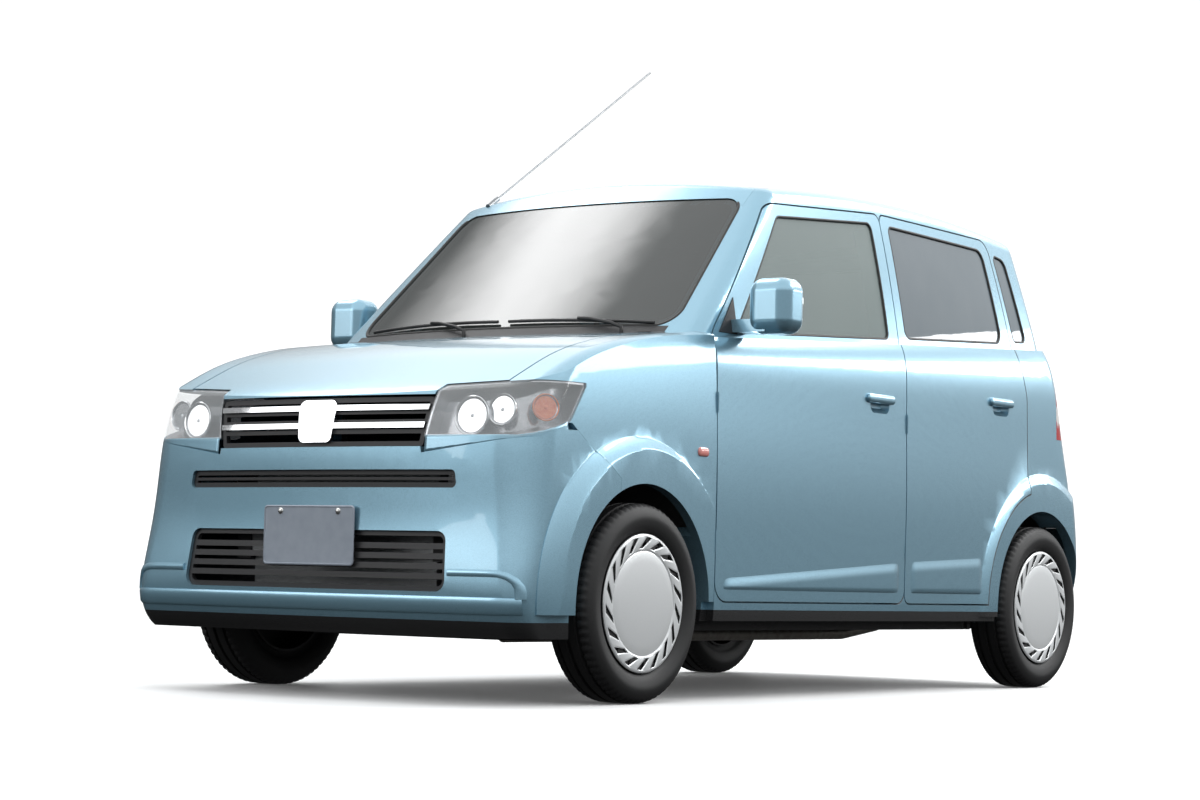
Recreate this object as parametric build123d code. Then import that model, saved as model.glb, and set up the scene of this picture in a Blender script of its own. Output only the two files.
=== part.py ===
from build123d import *
import math
import os
from functools import lru_cache

# Kei car, a tall five-door wagon with the driver on the right.
# Millimetres. +X is forward, +Y is the car's left, +Z is up.
# The origin is on the ground below the middle of the car.

# Driving dimensions
LENGTH = 3395.0
WIDTH = 1475.0
HEIGHT = 1635.0
WHEELBASE = 2420.0
TRACK = 1310.0
FRONT_OVERHANG = 590.0
TYRE_RADIUS = 278.5
TYRE_WIDTH = 155.0
RIM_RADIUS = 177.8
COVER_RADIUS = 194.0
ARCH_RADIUS = 332.0
FLARE_RADIUS = 475.0
FLARE_PROUD = 12.0      # most that an arch flare stands out from the body

# Walls and clearances
SHUT_GAP = 5.0          # between a moving panel and its frame
TAIL_GAP = 9.0          # beside the tailgate, whose edges lean in
FIXED_GAP = 0.6         # between two fixed panels
SEAT_GAP = 0.3          # between a piece and what it sits in
SKIN = 25.0             # thin panels: wings, bumpers, roof, bonnet
DOOR_THICKNESS = 50.0
DOOR_FLOOR = DOOR_THICKNESS + SHUT_GAP
SIDE_THICKNESS = 85.0
GLASS_OUT = 5.0         # how far glass lies below the outer skin
GLASS_IN = 10.0
FLANGE = 30.0           # width of the frame flange behind a moving panel

# Shut lines and heights
SHUT_FRONT = 747.0      # front edge of the front doors
SHUT_MID = -353.0       # between the doors
SHUT_REAR = -1218.0     # rear edge of the rear doors
SILL_LOW = 230.0
SILL_TOP = 285.0
BELT_HEIGHT = 1099.0    # belt line at mid-length, rising to the rear
BELT_RISE = 0.06
ROOF_HALF = 548.0
ROOF_REAR = -1310.0
BONNET_HALF = 585.0
FLOOR_LOW = 200.0
FLOOR_TOP = 230.0

FRONT_END = LENGTH / 2
FRONT_AXLE = FRONT_END - FRONT_OVERHANG
REAR_AXLE = FRONT_AXLE - WHEELBASE
WHEEL_Y = TRACK / 2
WHEEL_Z = TYRE_RADIUS
FAR = 2500.0            # beyond the car in every direction


def belt(x):
    """Height of the belt line at a station along the car."""
    return BELT_HEIGHT - BELT_RISE * x


# Outlines: lists of corners (u, v, corner radius)

def outline_segments(corners):
    """Lines and corner arcs of a closed outline, as tuples of 2 or 3 points."""
    ends = []
    for i, (u, v, radius) in enumerate(corners):
        before = corners[i - 1]
        after = corners[(i + 1) % len(corners)]
        here = Vector(u, v)
        to_before = (Vector(before[0], before[1]) - here).normalized()
        to_after = (Vector(after[0], after[1]) - here).normalized()
        if radius <= 0:
            ends.append((here, None, here))
            continue
        half = math.radians(to_before.get_angle(to_after)) / 2
        reach = radius / math.tan(half)
        middle = (to_before + to_after).normalized()
        centre = here + middle * (radius / math.sin(half))
        ends.append((here + to_before * reach, centre - middle * radius, here + to_after * reach))
    segments = []
    for i, (start, middle, end) in enumerate(ends):
        if middle is not None:
            segments.append((start, middle, end))
        segments.append((end, ends[(i + 1) % len(ends)][0]))
    return segments


def grown(corners, distance):
    """The outline moved outward by a distance, with its corner radii following."""
    count = len(corners)
    area = sum(corners[i - 1][0] * corners[i][1] - corners[i][0] * corners[i - 1][1] for i in range(count))
    turn = 1 if area > 0 else -1
    moved = []
    for i, (u, v, radius) in enumerate(corners):
        before = corners[i - 1]
        after = corners[(i + 1) % count]
        d1 = Vector(u - before[0], v - before[1]).normalized()
        d2 = Vector(after[0] - u, after[1] - v).normalized()
        n1 = Vector(d1.Y, -d1.X) * turn
        n2 = Vector(d2.Y, -d2.X) * turn
        shift = (n1 + n2) * (distance / (1 + n1.dot(n2)))
        convex = d1.cross(d2).Z * turn > 0
        new_radius = max(radius + (distance if convex else -distance), 1.0) if radius > 0 else 0
        moved.append((u + shift.X, v + shift.Y, new_radius))
    return moved


def prism(view, corners, low, high):
    """Extrude an outline seen from the side (x, z), the front (y, z) or above (x, y)."""
    place = {
        "side": lambda p: (p.X, low, p.Y),
        "front": lambda p: (low, p.X, p.Y),
        "plan": lambda p: (p.X, p.Y, low),
    }[view]
    along = {"side": (0, 1, 0), "front": (1, 0, 0), "plan": (0, 0, 1)}[view]
    edges = []
    for segment in outline_segments(corners):
        points = [place(p) for p in segment]
        make = Edge.make_line if len(points) == 2 else Edge.make_three_point_arc
        edges.append(make(*points))
    return Solid.extrude(Face(Wire(edges)), Vector(*along) * (high - low))


def block(x0, x1, y0, y1, z0, z1):
    return Solid.make_box(x1 - x0, y1 - y0, z1 - z0, Plane((x0, y0, z0)))


def rod(start, end, radius):
    start, end = Vector(start), Vector(end)
    direction = end - start
    return Solid.make_cylinder(radius, direction.length, Plane(origin=start, z_dir=direction))


def wheel_cylinder(axle_x, radius, y0, y1):
    """A cylinder about a wheel's axle line."""
    return rod((axle_x, y0, WHEEL_Z), (axle_x, y1, WHEEL_Z), radius)


def mirrored(shape):
    return shape.mirror(Plane.XZ)


def both_sides(shape):
    return [shape, mirrored(shape)]


def largest(shape):
    """The main solid of a cut, without its offcuts."""
    return max(shape.solids(), key=lambda solid: solid.volume)


def group(*shapes):
    """All solids of the given shapes as one node."""
    solids = []
    for shape in shapes:
        solids.extend(shape.solids())
    return Compound(solids)


# Master body: the outer form of the whole car, moved inward by an inset

def circles_meet(c1, r1, c2, r2, side):
    gap = math.dist(c1, c2)
    along = (r1 * r1 - r2 * r2 + gap * gap) / (2 * gap)
    across = math.sqrt(max(r1 * r1 - along * along, 0))
    ux, uy = (c2[0] - c1[0]) / gap, (c2[1] - c1[1]) / gap
    return (c1[0] + along * ux - side * across * uy, c1[1] + along * uy + side * across * ux)


def tangent_corner(c_end, r_end, c_side, r_side, radius, side):
    """Corner arc inside two circles: where it leaves the first, its middle, where it joins the second."""
    centre = circles_meet(c_end, r_end - radius, c_side, r_side - radius, side)
    c = Vector(*centre)
    toward_end = (c - Vector(*c_end)).normalized()
    toward_side = (c - Vector(*c_side)).normalized()
    leave = Vector(*c_end) + toward_end * r_end
    join = Vector(*c_side) + toward_side * r_side
    middle = c + (toward_end + toward_side).normalized() * radius
    return leave, middle, join


def plan_section(plane, front, front_r, front_corner, half, side_r, peak, rear_corner, rear, rear_r):
    """A level slice of the body: bowed ends and sides joined by tangent corners."""
    front_c, side_c, rear_c = (front - front_r, 0), (peak, half - side_r), (rear + rear_r, 0)
    front_both = [tangent_corner(front_c, front_r, side_c, side_r, front_corner, s) for s in (1, -1)]
    rear_both = [tangent_corner(rear_c, rear_r, side_c, side_r, rear_corner, s) for s in (1, -1)]
    f1, fm, f2 = max(front_both, key=lambda arc: arc[0].X)
    r1, rm, r2 = min(rear_both, key=lambda arc: arc[0].X)

    def at(p, sign=1):
        return plane.from_local_coords((p.X, sign * p.Y, 0))

    nose, tail, flank = Vector(front, 0), Vector(rear, 0), Vector(peak, half)
    arcs = [
        (at(f1, -1), at(nose), at(f1)),
        (at(f1), at(fm), at(f2)),
        (at(f2), at(flank), at(r2)),
        (at(r2), at(rm), at(r1)),
        (at(r1), at(tail), at(r1, -1)),
        (at(r1, -1), at(rm, -1), at(r2, -1)),
        (at(r2, -1), at(flank, -1), at(f2, -1)),
        (at(f2, -1), at(fm, -1), at(f1, -1)),
    ]
    return Wire([Edge.make_three_point_arc(*arc) for arc in arcs])


def tilted(z, rise):
    """A plane that rises to the rear."""
    size = math.hypot(1, rise)
    return Plane(origin=(0, 0, z), x_dir=(1 / size, 0, -rise / size), z_dir=(rise / size, 0, 1 / size))


WAIST_HALF = 726.0      # half width at the widest level of the doors
WAIST_BOW = 70000.0
WAIST_X = -100.0


def waist(x):
    """Half width of the body at its widest level."""
    return WAIST_HALF - (x - WAIST_X) ** 2 / (2 * WAIST_BOW)


# height, rise to rear, front x, front R, front corner, half width, side R, widest x, rear corner, rear x, rear R
LOWER_SECTIONS = [
    (180, 0, 1645, 6000, 70, 712, 90000, -100, 80, -1660, 4000),
    (285, 0, FRONT_END, 6000, 75, 723, 90000, -100, 80, -1690, 4000),
    (450, 0, 1687, 5000, 100, 725, 80000, -100, 80, -FRONT_END, 4000),
    (680, 0, 1682, 3800, 140, WAIST_HALF, WAIST_BOW, WAIST_X, 80, -1668, 3500),
    (880, 0, 1640, 2800, 150, 722, 60000, -100, 80, -1620, 3000),
    (1040, 0.035, 1525, 2000, 160, 716, 50000, -100, 80, -1570, 2600),
    (1096, BELT_RISE, 1470, 1900, 160, 697, 45000, -100, 80, -1535, 2400),
]
UPPER_SECTIONS = [
    (1000, 0, 1000, 1800, 70, 706, 50000, -300, 90, -1560, 2400),
    (1300, 0, 672, 1700, 70, 657, 40000, -300, 90, -1490, 2200),
    (1700, 0, 236, 1600, 80, 560, 25000, -400, 90, -1390, 2000),
]
# station, crown height, crown R, edge radius
NOSE_SECTIONS = [
    (SHUT_FRONT, 1077, 20000, 60),
    (870, 1067, 20000, 60),
    (1000, 1052, 20000, 60),
    (1110, 1035, 20000, 65),
    (1225, 1010, 20000, 70),
    (1377, 966, 15000, 75),
    (1490, 918, 12000, 80),
    (1600, 868, 9000, 85),
    (1664, 830, 8000, 90),
    (1735, 765, 8000, 95),
]
NOSE_START = NOSE_SECTIONS[0][0]
NOSE_SIDE = 728.0
# replaces the last lower section ahead of the doors, so that the nose may rise above the belt
NOSE_TOP_SECTION = (1180, BELT_RISE, 1400, 1900, 160, 690, 45000, -100, 80, -1535, 2400)
NOSE_BASE = 100.0
ROOF_CROWN_X = 8000.0
ROOF_CROWN_Y = 4000.0
ROOF_PEAK = -550.0
ROOF_EDGE = 60.0
LEAST_CORNER = 20.0


def roof_height(x):
    """Height of the roof on the centre line."""
    return HEIGHT - ROOF_CROWN_X + math.sqrt(ROOF_CROWN_X ** 2 - (x - ROOF_PEAK) ** 2)


def section_loft(table, inset):
    wires = []
    for z, rise, front, front_r, front_c, half, side_r, peak, rear_c, rear, rear_r in table:
        wires.append(plan_section(
            tilted(z, rise), front - inset, front_r - inset, max(front_c - inset, LEAST_CORNER), half - inset,
            side_r - inset, peak, max(rear_c - inset, LEAST_CORNER), rear + inset, rear_r - inset))
    return Solid.make_loft(wires, False)


def roof_barrel(inset):
    """Everything below a roof that is crowned both ways."""
    top = HEIGHT - inset
    half = 900.0
    drop = ROOF_CROWN_Y - math.sqrt(ROOF_CROWN_Y ** 2 - half ** 2)
    centre = top - ROOF_CROWN_X
    deep = centre + 1000
    edges = [
        Edge.make_three_point_arc((ROOF_PEAK, -half, top - drop), (ROOF_PEAK, 0, top), (ROOF_PEAK, half, top - drop)),
        Edge.make_line((ROOF_PEAK, half, top - drop), (ROOF_PEAK, half, deep)),
        Edge.make_line((ROOF_PEAK, half, deep), (ROOF_PEAK, -half, deep)),
        Edge.make_line((ROOF_PEAK, -half, deep), (ROOF_PEAK, -half, top - drop)),
    ]
    axis = Axis((ROOF_PEAK, 0, centre), (0, 1, 0))
    sweep = 40.0
    return Solid.revolve(Face(Wire(edges)), sweep, axis).rotate(axis, -sweep / 2)


def nose_former(inset):
    """Everything below the bonnet and wings: crowned sections with rounded edges."""
    side = NOSE_SIDE - inset
    wires = []
    for x, crown, crown_r, edge_r in NOSE_SECTIONS:
        top = crown - inset
        radius = max(edge_r - inset, LEAST_CORNER)
        corner_y = side - radius
        corner_z = top - crown_r + math.sqrt((crown_r - radius) ** 2 - corner_y ** 2)
        toward = Vector(corner_y, corner_z - top + crown_r).normalized()
        leave = Vector(0, top - crown_r) + toward * crown_r
        join = Vector(side, corner_z)
        middle = Vector(corner_y, corner_z) + (toward + Vector(1, 0)).normalized() * radius

        def at(p, sign=1):
            return Vector(x, sign * p.X, p.Y)

        foot = Vector(side, NOSE_BASE)
        wires.append(Wire([
            Edge.make_three_point_arc(at(leave, -1), at(Vector(0, top)), at(leave)),
            Edge.make_three_point_arc(at(leave), at(middle), at(join)),
            Edge.make_line(at(join), at(foot)),
            Edge.make_line(at(foot), at(foot, -1)),
            Edge.make_line(at(foot, -1), at(join, -1)),
            Edge.make_three_point_arc(at(join, -1), at(middle, -1), at(leave, -1)),
        ]))
    return Solid.make_loft(wires, False)


def arch_flare(axle_x):
    """Raised band round a wheel arch, fading into the body side."""
    low, lip = 600.0, WIDTH / 2
    fall = 28.0

    def at(radius, y):
        return (axle_x + radius, y, WHEEL_Z)

    inner, lip_end = ARCH_RADIUS, ARCH_RADIUS + 14
    reach = FLARE_RADIUS - lip_end
    bow = (reach ** 2 + fall ** 2) / (2 * fall)
    half_fall = bow - math.sqrt(bow ** 2 - (reach / 2) ** 2)
    edges = [
        Edge.make_line(at(inner, low), at(inner, lip)),
        Edge.make_line(at(inner, lip), at(lip_end, lip)),
        Edge.make_three_point_arc(
            at(lip_end, lip), at(lip_end + reach / 2, lip - half_fall), at(FLARE_RADIUS, lip - fall)),
        Edge.make_line(at(FLARE_RADIUS, lip - fall), at(FLARE_RADIUS, low)),
        Edge.make_line(at(FLARE_RADIUS, low), at(inner, low)),
    ]
    ring = Solid.revolve(Face(Wire(edges)), 360, Axis((axle_x, 0, WHEEL_Z), (0, 1, 0)))
    ring = ring & block(axle_x - FAR, axle_x + FAR, 0, FAR, SILL_TOP - 40, FAR)
    if axle_x == REAR_AXLE:
        return ring & body(-FLARE_PROUD)
    lean = math.degrees(math.atan2(FLARE_PROUD, FRONT_AXLE - SHUT_FRONT))
    return ring & body(0.001).rotate(Axis((SHUT_FRONT, waist(SHUT_FRONT), 0), (0, 0, 1)), lean)


@lru_cache(maxsize=None)
def body(inset):
    lower = section_loft(LOWER_SECTIONS, inset)
    cabin = (section_loft(UPPER_SECTIONS, inset) & roof_barrel(inset)).solids()[0]
    roof_edges = [e for e in cabin.edges() if e.bounding_box().min.Z > 1450 - inset]
    cabin = cabin.fillet(max(ROOF_EDGE - inset, LEAST_CORNER), roof_edges)
    nose = section_loft(LOWER_SECTIONS[:-1] + [NOSE_TOP_SECTION], inset) & nose_former(inset)
    tail = lower - block(NOSE_START, FAR, -FAR, FAR, 0, FAR)
    form = tail + nose + cabin
    if inset == 0:
        for axle in (FRONT_AXLE, REAR_AXLE):
            for flare in both_sides(arch_flare(axle)):
                form = form + flare
    return largest(form)


@lru_cache(maxsize=None)
def shell(outer, inner):
    """The wall between two insets of the body."""
    return body(outer) - body(inner)


# Arches are cut through everything that is not a wheel
def arch_cut(extra=0.0):
    cuts = []
    for axle in (FRONT_AXLE, REAR_AXLE):
        cuts.append(wheel_cylinder(axle, ARCH_RADIUS + extra, 420, FAR))
        cuts.append(wheel_cylinder(axle, ARCH_RADIUS + extra, -FAR, -420))
    return cuts


def without(shape, cuts):
    for cut in cuts:
        shape = shape - cut
    return shape


# Outlines of the panels, on the shut lines

FRONT_DOOR = [
    (SHUT_FRONT, SILL_TOP, 60),
    (SHUT_FRONT, belt(SHUT_FRONT) + 4, 110),
    (327, 1499, 90),
    (SHUT_MID, 1545, 30),
    (SHUT_MID, SILL_TOP, 45),
]
REAR_DOOR = [
    (SHUT_MID, SILL_TOP, 30),
    (SHUT_MID, 1545, 30),
    (-1110, 1541, 60),
    (-1165, belt(-1165), 60),
    (SHUT_REAR, 1000, 100),
    (SHUT_REAR, SILL_TOP, 0),
]
# the wing, ahead of the door and of the foot of the windshield pillar
FENDER_CELL = [
    (SHUT_FRONT, 0, 0),
    (SHUT_FRONT, belt(SHUT_FRONT), 0),
    (870, 1068, 0),
    (870, FAR, 0),
    (FAR, FAR, 0),
    (FAR, 0, 0),
]
REAR_DOOR_ARCH = 400.0  # the rear door's edge runs round the arch at this radius
FRONT_WINDOW = [
    (612, belt(612) + 12, 14),
    (286, 1462, 40),
    (-292, 1508, 25),
    (-292, belt(-292) + 12, 25),
]
REAR_WINDOW = [
    (-402, belt(-402) + 16, 30),
    (-402, 1510, 25),
    (-1062, 1502, 45),
    (-1100, belt(-1100) + 16, 45),
]
QUARTER_WINDOW = [
    (-1192, belt(-1192) + 22, 20),
    (-1142, 1496, 20),
    (-1230, 1484, 40),
    (-1292, belt(-1292) + 22, 25),
]
WINDSHIELD_LOW = 1082.0
WINDSHIELD = [
    (-598, WINDSHIELD_LOW, 50),
    (598, WINDSHIELD_LOW, 50),
    (535, 1516, 60),
    (-535, 1516, 60),
]
TAILGATE = [
    (-618, 566, 60),
    (618, 566, 60),
    (596, 1110, 200),
    (318, FAR, 0),
    (-318, FAR, 0),
    (-596, 1110, 200),
]
REAR_GLASS = [
    (-545, 1160, 60),
    (545, 1160, 60),
    (478, 1500, 70),
    (-478, 1500, 70),
]
GRILLE_LOW, GRILLE_HIGH = 690.0, 826.0
LAMP_FRONT = [
    (368, 676, 12),
    (398, 858, 20),
    (672, 872, 0),
    (FAR, 872, 0),
    (FAR, 700, 0),
    (692, 722, 0),
]
LAMP_SIDE = [
    (1600, 716, 0),
    (1450, 758, 70),
    (1376, 862, 0),
    (1376, FAR, 0),
    (FAR, FAR, 0),
    (FAR, 716, 0),
]
TAIL_LAMP_LOW, TAIL_LAMP_HIGH = 868.0, 1092.0
TAIL_LAMP_FRONT = -1452.0
BUMPER_SIDE = [
    (1237, 620, 0),
    (1440, 760, 0),
    (FAR, 760, 0),
    (FAR, 0, 0),
    (1237, 0, 0),
]
BUMPER_TOP = [
    (-692, 720, 0), (-369, 673, 0), (-366, GRILLE_LOW, 0), (366, GRILLE_LOW, 0), (369, 673, 0), (692, 720, 0),
    (740, 790, 0), (FAR, 790, 0), (FAR, 0, 0), (-FAR, 0, 0), (-FAR, 790, 0), (-740, 790, 0),
]
BONNET_FRONT = [
    (-FAR, 876, 0), (-672, 876, 0), (-398, 862, 0), (-388, GRILLE_HIGH + 6, 0), (388, GRILLE_HIGH + 6, 0),
    (398, 862, 0), (672, 876, 0), (FAR, 876, 0), (FAR, FAR, 0), (-FAR, FAR, 0),
]
COWL_FRONT = 955.0      # bonnet's rear edge at the centre line
COWL_BOW = 1800.0
COWL_HALF = BONNET_HALF - FIXED_GAP
REAR_BUMPER_TOP = 560.0
PLATE_SPACING = 210.0   # number-plate bolts
PLATE_BOLT = 3.5
PLATE_BOLT_Z = 512.0
LOWER_GRILLE = [(-475, 300, 30), (475, 300, 30), (462, 462, 30), (-462, 462, 30)]
BUMPER_SLOT = [(-487, 578, 14), (487, 578, 14), (479, 627, 14), (-479, 627, 14)]
UPPER_GRILLE = [(-366, GRILLE_LOW, 10), (366, GRILLE_LOW, 10), (388, GRILLE_HIGH, 10), (-388, GRILLE_HIGH, 10)]

# The doors: outline, radius kept clear round the rear arch, window, hinge line
DOORS = {
    "front": (FRONT_DOOR, 0.0, FRONT_WINDOW, SHUT_FRONT),
    "rear": (REAR_DOOR, REAR_DOOR_ARCH, REAR_WINDOW, SHUT_MID),
}
HINGE_PROUD = 0.5       # the door hinge line, in the shut gap, stands this far out from the waist
HINGE_STATIONS = (430.0, 830.0)
HINGE_LENGTH = 60.0
HINGE_PIN = 2.0
HINGE_LEAF = 3.0
RELIEF_LENGTH = 40.0
RELIEF_RISE = 8.0       # above the belt
RELIEF_Y = 648.0
TAIL_HINGE_HALF = 110.0
TAIL_HINGE_Z = roof_height(ROOF_REAR)
BONNET_HINGE_X = 880.0
BONNET_HINGE_Z = 1059.0
BONNET_HINGE_Y = (525.0, 570.0)
BONNET_BRACKET_Z = 900.0


def door_prism(outline, arch, distance, inward=0.0):
    """The region of a door on the left side, grown by a distance."""
    region = prism("side", grown(outline, distance), inward, FAR)
    if arch:
        region = region - wheel_cylinder(REAR_AXLE, arch - distance, 0, FAR)
    return region


def belt_relief(hinge_x):
    """Takes off the inner edge of a rear door that would dip past the belt ledge as it swings."""
    return block(hinge_x - RELIEF_LENGTH, hinge_x, 0, RELIEF_Y, 1090, belt(hinge_x) + RELIEF_RISE)


def door(kind):
    outline, arch, window, hinge_x = DOORS[kind]
    panel = shell(0, DOOR_THICKNESS) & door_prism(outline, arch, -SHUT_GAP / 2, 300)
    panel = panel - prism("side", window, 300, FAR)
    if kind == "rear":
        panel = panel - belt_relief(hinge_x)
    return panel.solids()[0]


def door_glass(kind):
    window = DOORS[kind][2]
    return largest(shell(GLASS_OUT, GLASS_IN) & prism("side", grown(window, -SEAT_GAP), 300, FAR))


def hinge_leaves(hinge_x):
    """Two leaves that stand in the shut gap, each with its pin at the skin."""
    leaves = None
    hinge_y = waist(hinge_x) + HINGE_PROUD
    for z in HINGE_STATIONS:
        leaf = block(hinge_x - HINGE_LEAF / 2, hinge_x + HINGE_LEAF / 2, 640, hinge_y, z, z + HINGE_LENGTH)
        pin = rod((hinge_x, hinge_y, z), (hinge_x, hinge_y, z + HINGE_LENGTH), HINGE_PIN)
        leaves = leaf + pin if leaves is None else leaves + leaf + pin
    return leaves


def body_side():
    """Left side of the shell: pillars, roof rail, sill and rear quarter, with the door rebates."""
    wall = shell(0, SIDE_THICKNESS) & block(-FAR, FAR, 300, FAR, SILL_LOW, FAR)
    wall = wall - block(ROOF_REAR + SHUT_GAP / 2 - FIXED_GAP, FAR, -ROOF_HALF, ROOF_HALF, 1490, FAR)
    wall = wall - prism("side", FENDER_CELL, 0, FAR)
    pillar_cell = [
        (SHUT_FRONT - 20, SILL_LOW, 0), (SHUT_FRONT - 20, belt(SHUT_FRONT), 0),
        (SHUT_FRONT + 90, belt(SHUT_FRONT), 0), (SHUT_FRONT + 90, SILL_LOW, 0)]
    pillar = shell(SKIN, SIDE_THICKNESS) & prism("side", pillar_cell, 300, FAR)
    wall = wall + pillar
    for kind in DOORS:
        outline, arch, window, hinge_x = DOORS[kind]
        rebate = door_prism(outline, arch, SHUT_GAP / 2, 300) - body(DOOR_FLOOR)
        wall = wall - rebate - door_prism(outline, arch, -FLANGE, 300)
    glass_seat = prism("front", grown(WINDSHIELD, SEAT_GAP), 0, FAR) - body(GLASS_IN)
    wall = wall - glass_seat - prism("front", grown(WINDSHIELD, -20), 0, FAR)
    wall = wall - prism("side", QUARTER_WINDOW, 300, FAR)
    wall = wall - block(800, FAR, 0, COWL_HALF + FIXED_GAP, 900, WINDSHIELD_LOW)
    tail_rebate = prism("front", grown(TAILGATE, TAIL_GAP / 2), -FAR, -1200) - body(DOOR_FLOOR)
    wall = wall - tail_rebate - prism("front", grown(TAILGATE, -FLANGE), -FAR, -1200)
    wall = wall - block(-FAR, REAR_AXLE, 0, FAR, 0, REAR_BUMPER_TOP)
    lamp = block(-FAR, TAIL_LAMP_FRONT, 300, FAR, TAIL_LAMP_LOW, TAIL_LAMP_HIGH) - body(DOOR_FLOOR)
    wall = wall - lamp
    wall = without(wall, arch_cut())
    for hinge_x in (SHUT_FRONT, SHUT_MID):
        wall = wall + hinge_leaves(hinge_x)
    return largest(wall)


def tail_lamp():
    cell = block(
        -FAR, TAIL_LAMP_FRONT - FIXED_GAP, 300, FAR, TAIL_LAMP_LOW + FIXED_GAP, TAIL_LAMP_HIGH - FIXED_GAP)
    lamp = shell(0, DOOR_FLOOR) & cell
    lamp = lamp - prism("front", grown(TAILGATE, TAIL_GAP / 2), -FAR, -1200)
    return largest(lamp)


def quarter_glass():
    return largest(shell(GLASS_OUT, GLASS_IN) & prism("side", grown(QUARTER_WINDOW, -SEAT_GAP), 300, FAR))


def windshield():
    return largest(shell(GLASS_OUT, GLASS_IN) & prism("front", WINDSHIELD, 0, FAR))


def roof_panel():
    half = ROOF_HALF - FIXED_GAP
    panel = shell(0, SKIN) & block(ROOF_REAR + SHUT_GAP / 2, FAR, -half, half, 1490 + FIXED_GAP, FAR)
    panel = panel - (prism("front", grown(WINDSHIELD, SEAT_GAP), 0, FAR) - body(GLASS_IN))
    panel = panel - prism("front", grown(WINDSHIELD, -20), 0, FAR)
    leaf = block(
        ROOF_REAR - HINGE_LEAF / 2, ROOF_REAR + SHUT_GAP, -TAIL_HINGE_HALF, TAIL_HINGE_HALF,
        TAIL_HINGE_Z - 20, TAIL_HINGE_Z)
    pin = rod((ROOF_REAR, -TAIL_HINGE_HALF, TAIL_HINGE_Z), (ROOF_REAR, TAIL_HINGE_HALF, TAIL_HINGE_Z), HINGE_PIN)
    return largest(panel + leaf + pin)


def lamp_cell(distance):
    front = prism("front", grown(LAMP_FRONT, distance), 1200, FAR)
    return front & prism("side", grown(LAMP_SIDE, distance), 0, FAR)


def cowl_disc(distance):
    """Plan disc behind the bonnet's bowed rear edge."""
    return rod((COWL_FRONT - COWL_BOW, 0, 0), (COWL_FRONT - COWL_BOW, 0, FAR), COWL_BOW + distance)


def fender():
    panel = shell(0, SKIN) & prism("side", grown(FENDER_CELL, -FIXED_GAP), BONNET_HALF, FAR)
    panel = panel & block(SHUT_FRONT + SHUT_GAP / 2, FAR, 0, FAR, SILL_TOP, FAR)
    panel = panel - prism("side", grown(BUMPER_SIDE, FIXED_GAP), 0, FAR)
    panel = panel - lamp_cell(FIXED_GAP)
    panel = without(panel, arch_cut())
    return largest(panel)


def front_bumper():
    panel = shell(0, SKIN) & prism("side", BUMPER_SIDE, -FAR, FAR)
    panel = panel & prism("front", grown(BUMPER_TOP, -FIXED_GAP), 1000, FAR)
    for hole in (LOWER_GRILLE, BUMPER_SLOT):
        panel = panel - prism("front", hole, 1200, FAR)
    for y in (-PLATE_SPACING / 2, PLATE_SPACING / 2):
        panel = panel - rod((1200, y, PLATE_BOLT_Z), (FAR, y, PLATE_BOLT_Z), PLATE_BOLT)
    panel = panel - lamp_cell(FIXED_GAP) - mirrored(lamp_cell(FIXED_GAP))
    panel = without(panel, arch_cut())
    return largest(panel)


def slatted(outline, count, bar):
    """A grille insert: a frame inside its opening with level slats."""
    inner = grown(outline, -14)
    low = min(c[1] for c in inner)
    high = max(c[1] for c in inner)
    opening = prism("front", inner, 1200, FAR)
    pitch = (high - low) / (count + 1)
    for i in range(count):
        z = low + pitch * (i + 1)
        opening = opening - block(1200, FAR, -FAR, FAR, z - bar / 2, z + bar / 2)
    insert = shell(GLASS_IN, SKIN) & prism("front", grown(outline, -SEAT_GAP), 1200, FAR)
    return insert - opening


def grille_bars():
    """Two bright bars and a plain centre boss in the upper grille."""
    wall = shell(0, GLASS_IN)
    region = prism("front", [(-58, 702, 20), (58, 702, 20), (70, 820, 22), (-70, 820, 22)], 1200, FAR)
    for z in (741, 790):
        region = region + block(1200, FAR, -FAR, FAR, z, z + 15)
    return wall & region & prism("front", grown(UPPER_GRILLE, -4), 1200, FAR)


def headlamp_lens():
    return largest(shell(0, GLASS_OUT) & lamp_cell(0))


def headlamp_bowl():
    bowl = shell(GLASS_OUT, SIDE_THICKNESS) & lamp_cell(0)
    hollow = shell(0, DOOR_FLOOR) & lamp_cell(-6)
    return largest((bowl - hollow))


def bonnet():
    half = BONNET_HALF - SHUT_GAP
    panel = shell(0, SKIN) & block(700, FAR, -half, half, 700, FAR)
    panel = panel & prism("front", BONNET_FRONT, 600, FAR)
    panel = panel - cowl_disc(SHUT_GAP / 2) - block(0, BONNET_HINGE_X + SHUT_GAP / 2, -FAR, FAR, 0, FAR)
    return largest(panel)


def cowl_panel():
    """Black panel between the bonnet's rear edge and the windshield."""
    panel = shell(0, SKIN) & block(800, FAR, -COWL_HALF, COWL_HALF, 900, WINDSHIELD_LOW)
    behind = block(0, BONNET_HINGE_X - SHUT_GAP / 2, -FAR, FAR, 0, FAR)
    panel = panel & (cowl_disc(-SHUT_GAP / 2) + behind)
    panel = panel - prism("front", grown(WINDSHIELD, SEAT_GAP), 0, FAR)
    return largest(panel)


def rear_bumper():
    top = REAR_BUMPER_TOP - FIXED_GAP
    panel = shell(0, SKIN) & block(-FAR, REAR_AXLE, -FAR, FAR, 240, top)
    panel = without(panel, arch_cut())
    return largest(panel)


def tailgate():
    region = prism("front", grown(TAILGATE, -TAIL_GAP / 2), -FAR, -1000)
    panel = shell(0, DOOR_THICKNESS) & region & block(-FAR, ROOF_REAR - SHUT_GAP / 2, -FAR, FAR, 0, FAR)
    panel = panel - prism("front", REAR_GLASS, -FAR, -1000)
    return largest(panel)


def tailgate_glass():
    return largest(shell(GLASS_OUT, GLASS_IN) & prism("front", grown(REAR_GLASS, -SEAT_GAP), -FAR, -1000))


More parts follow.
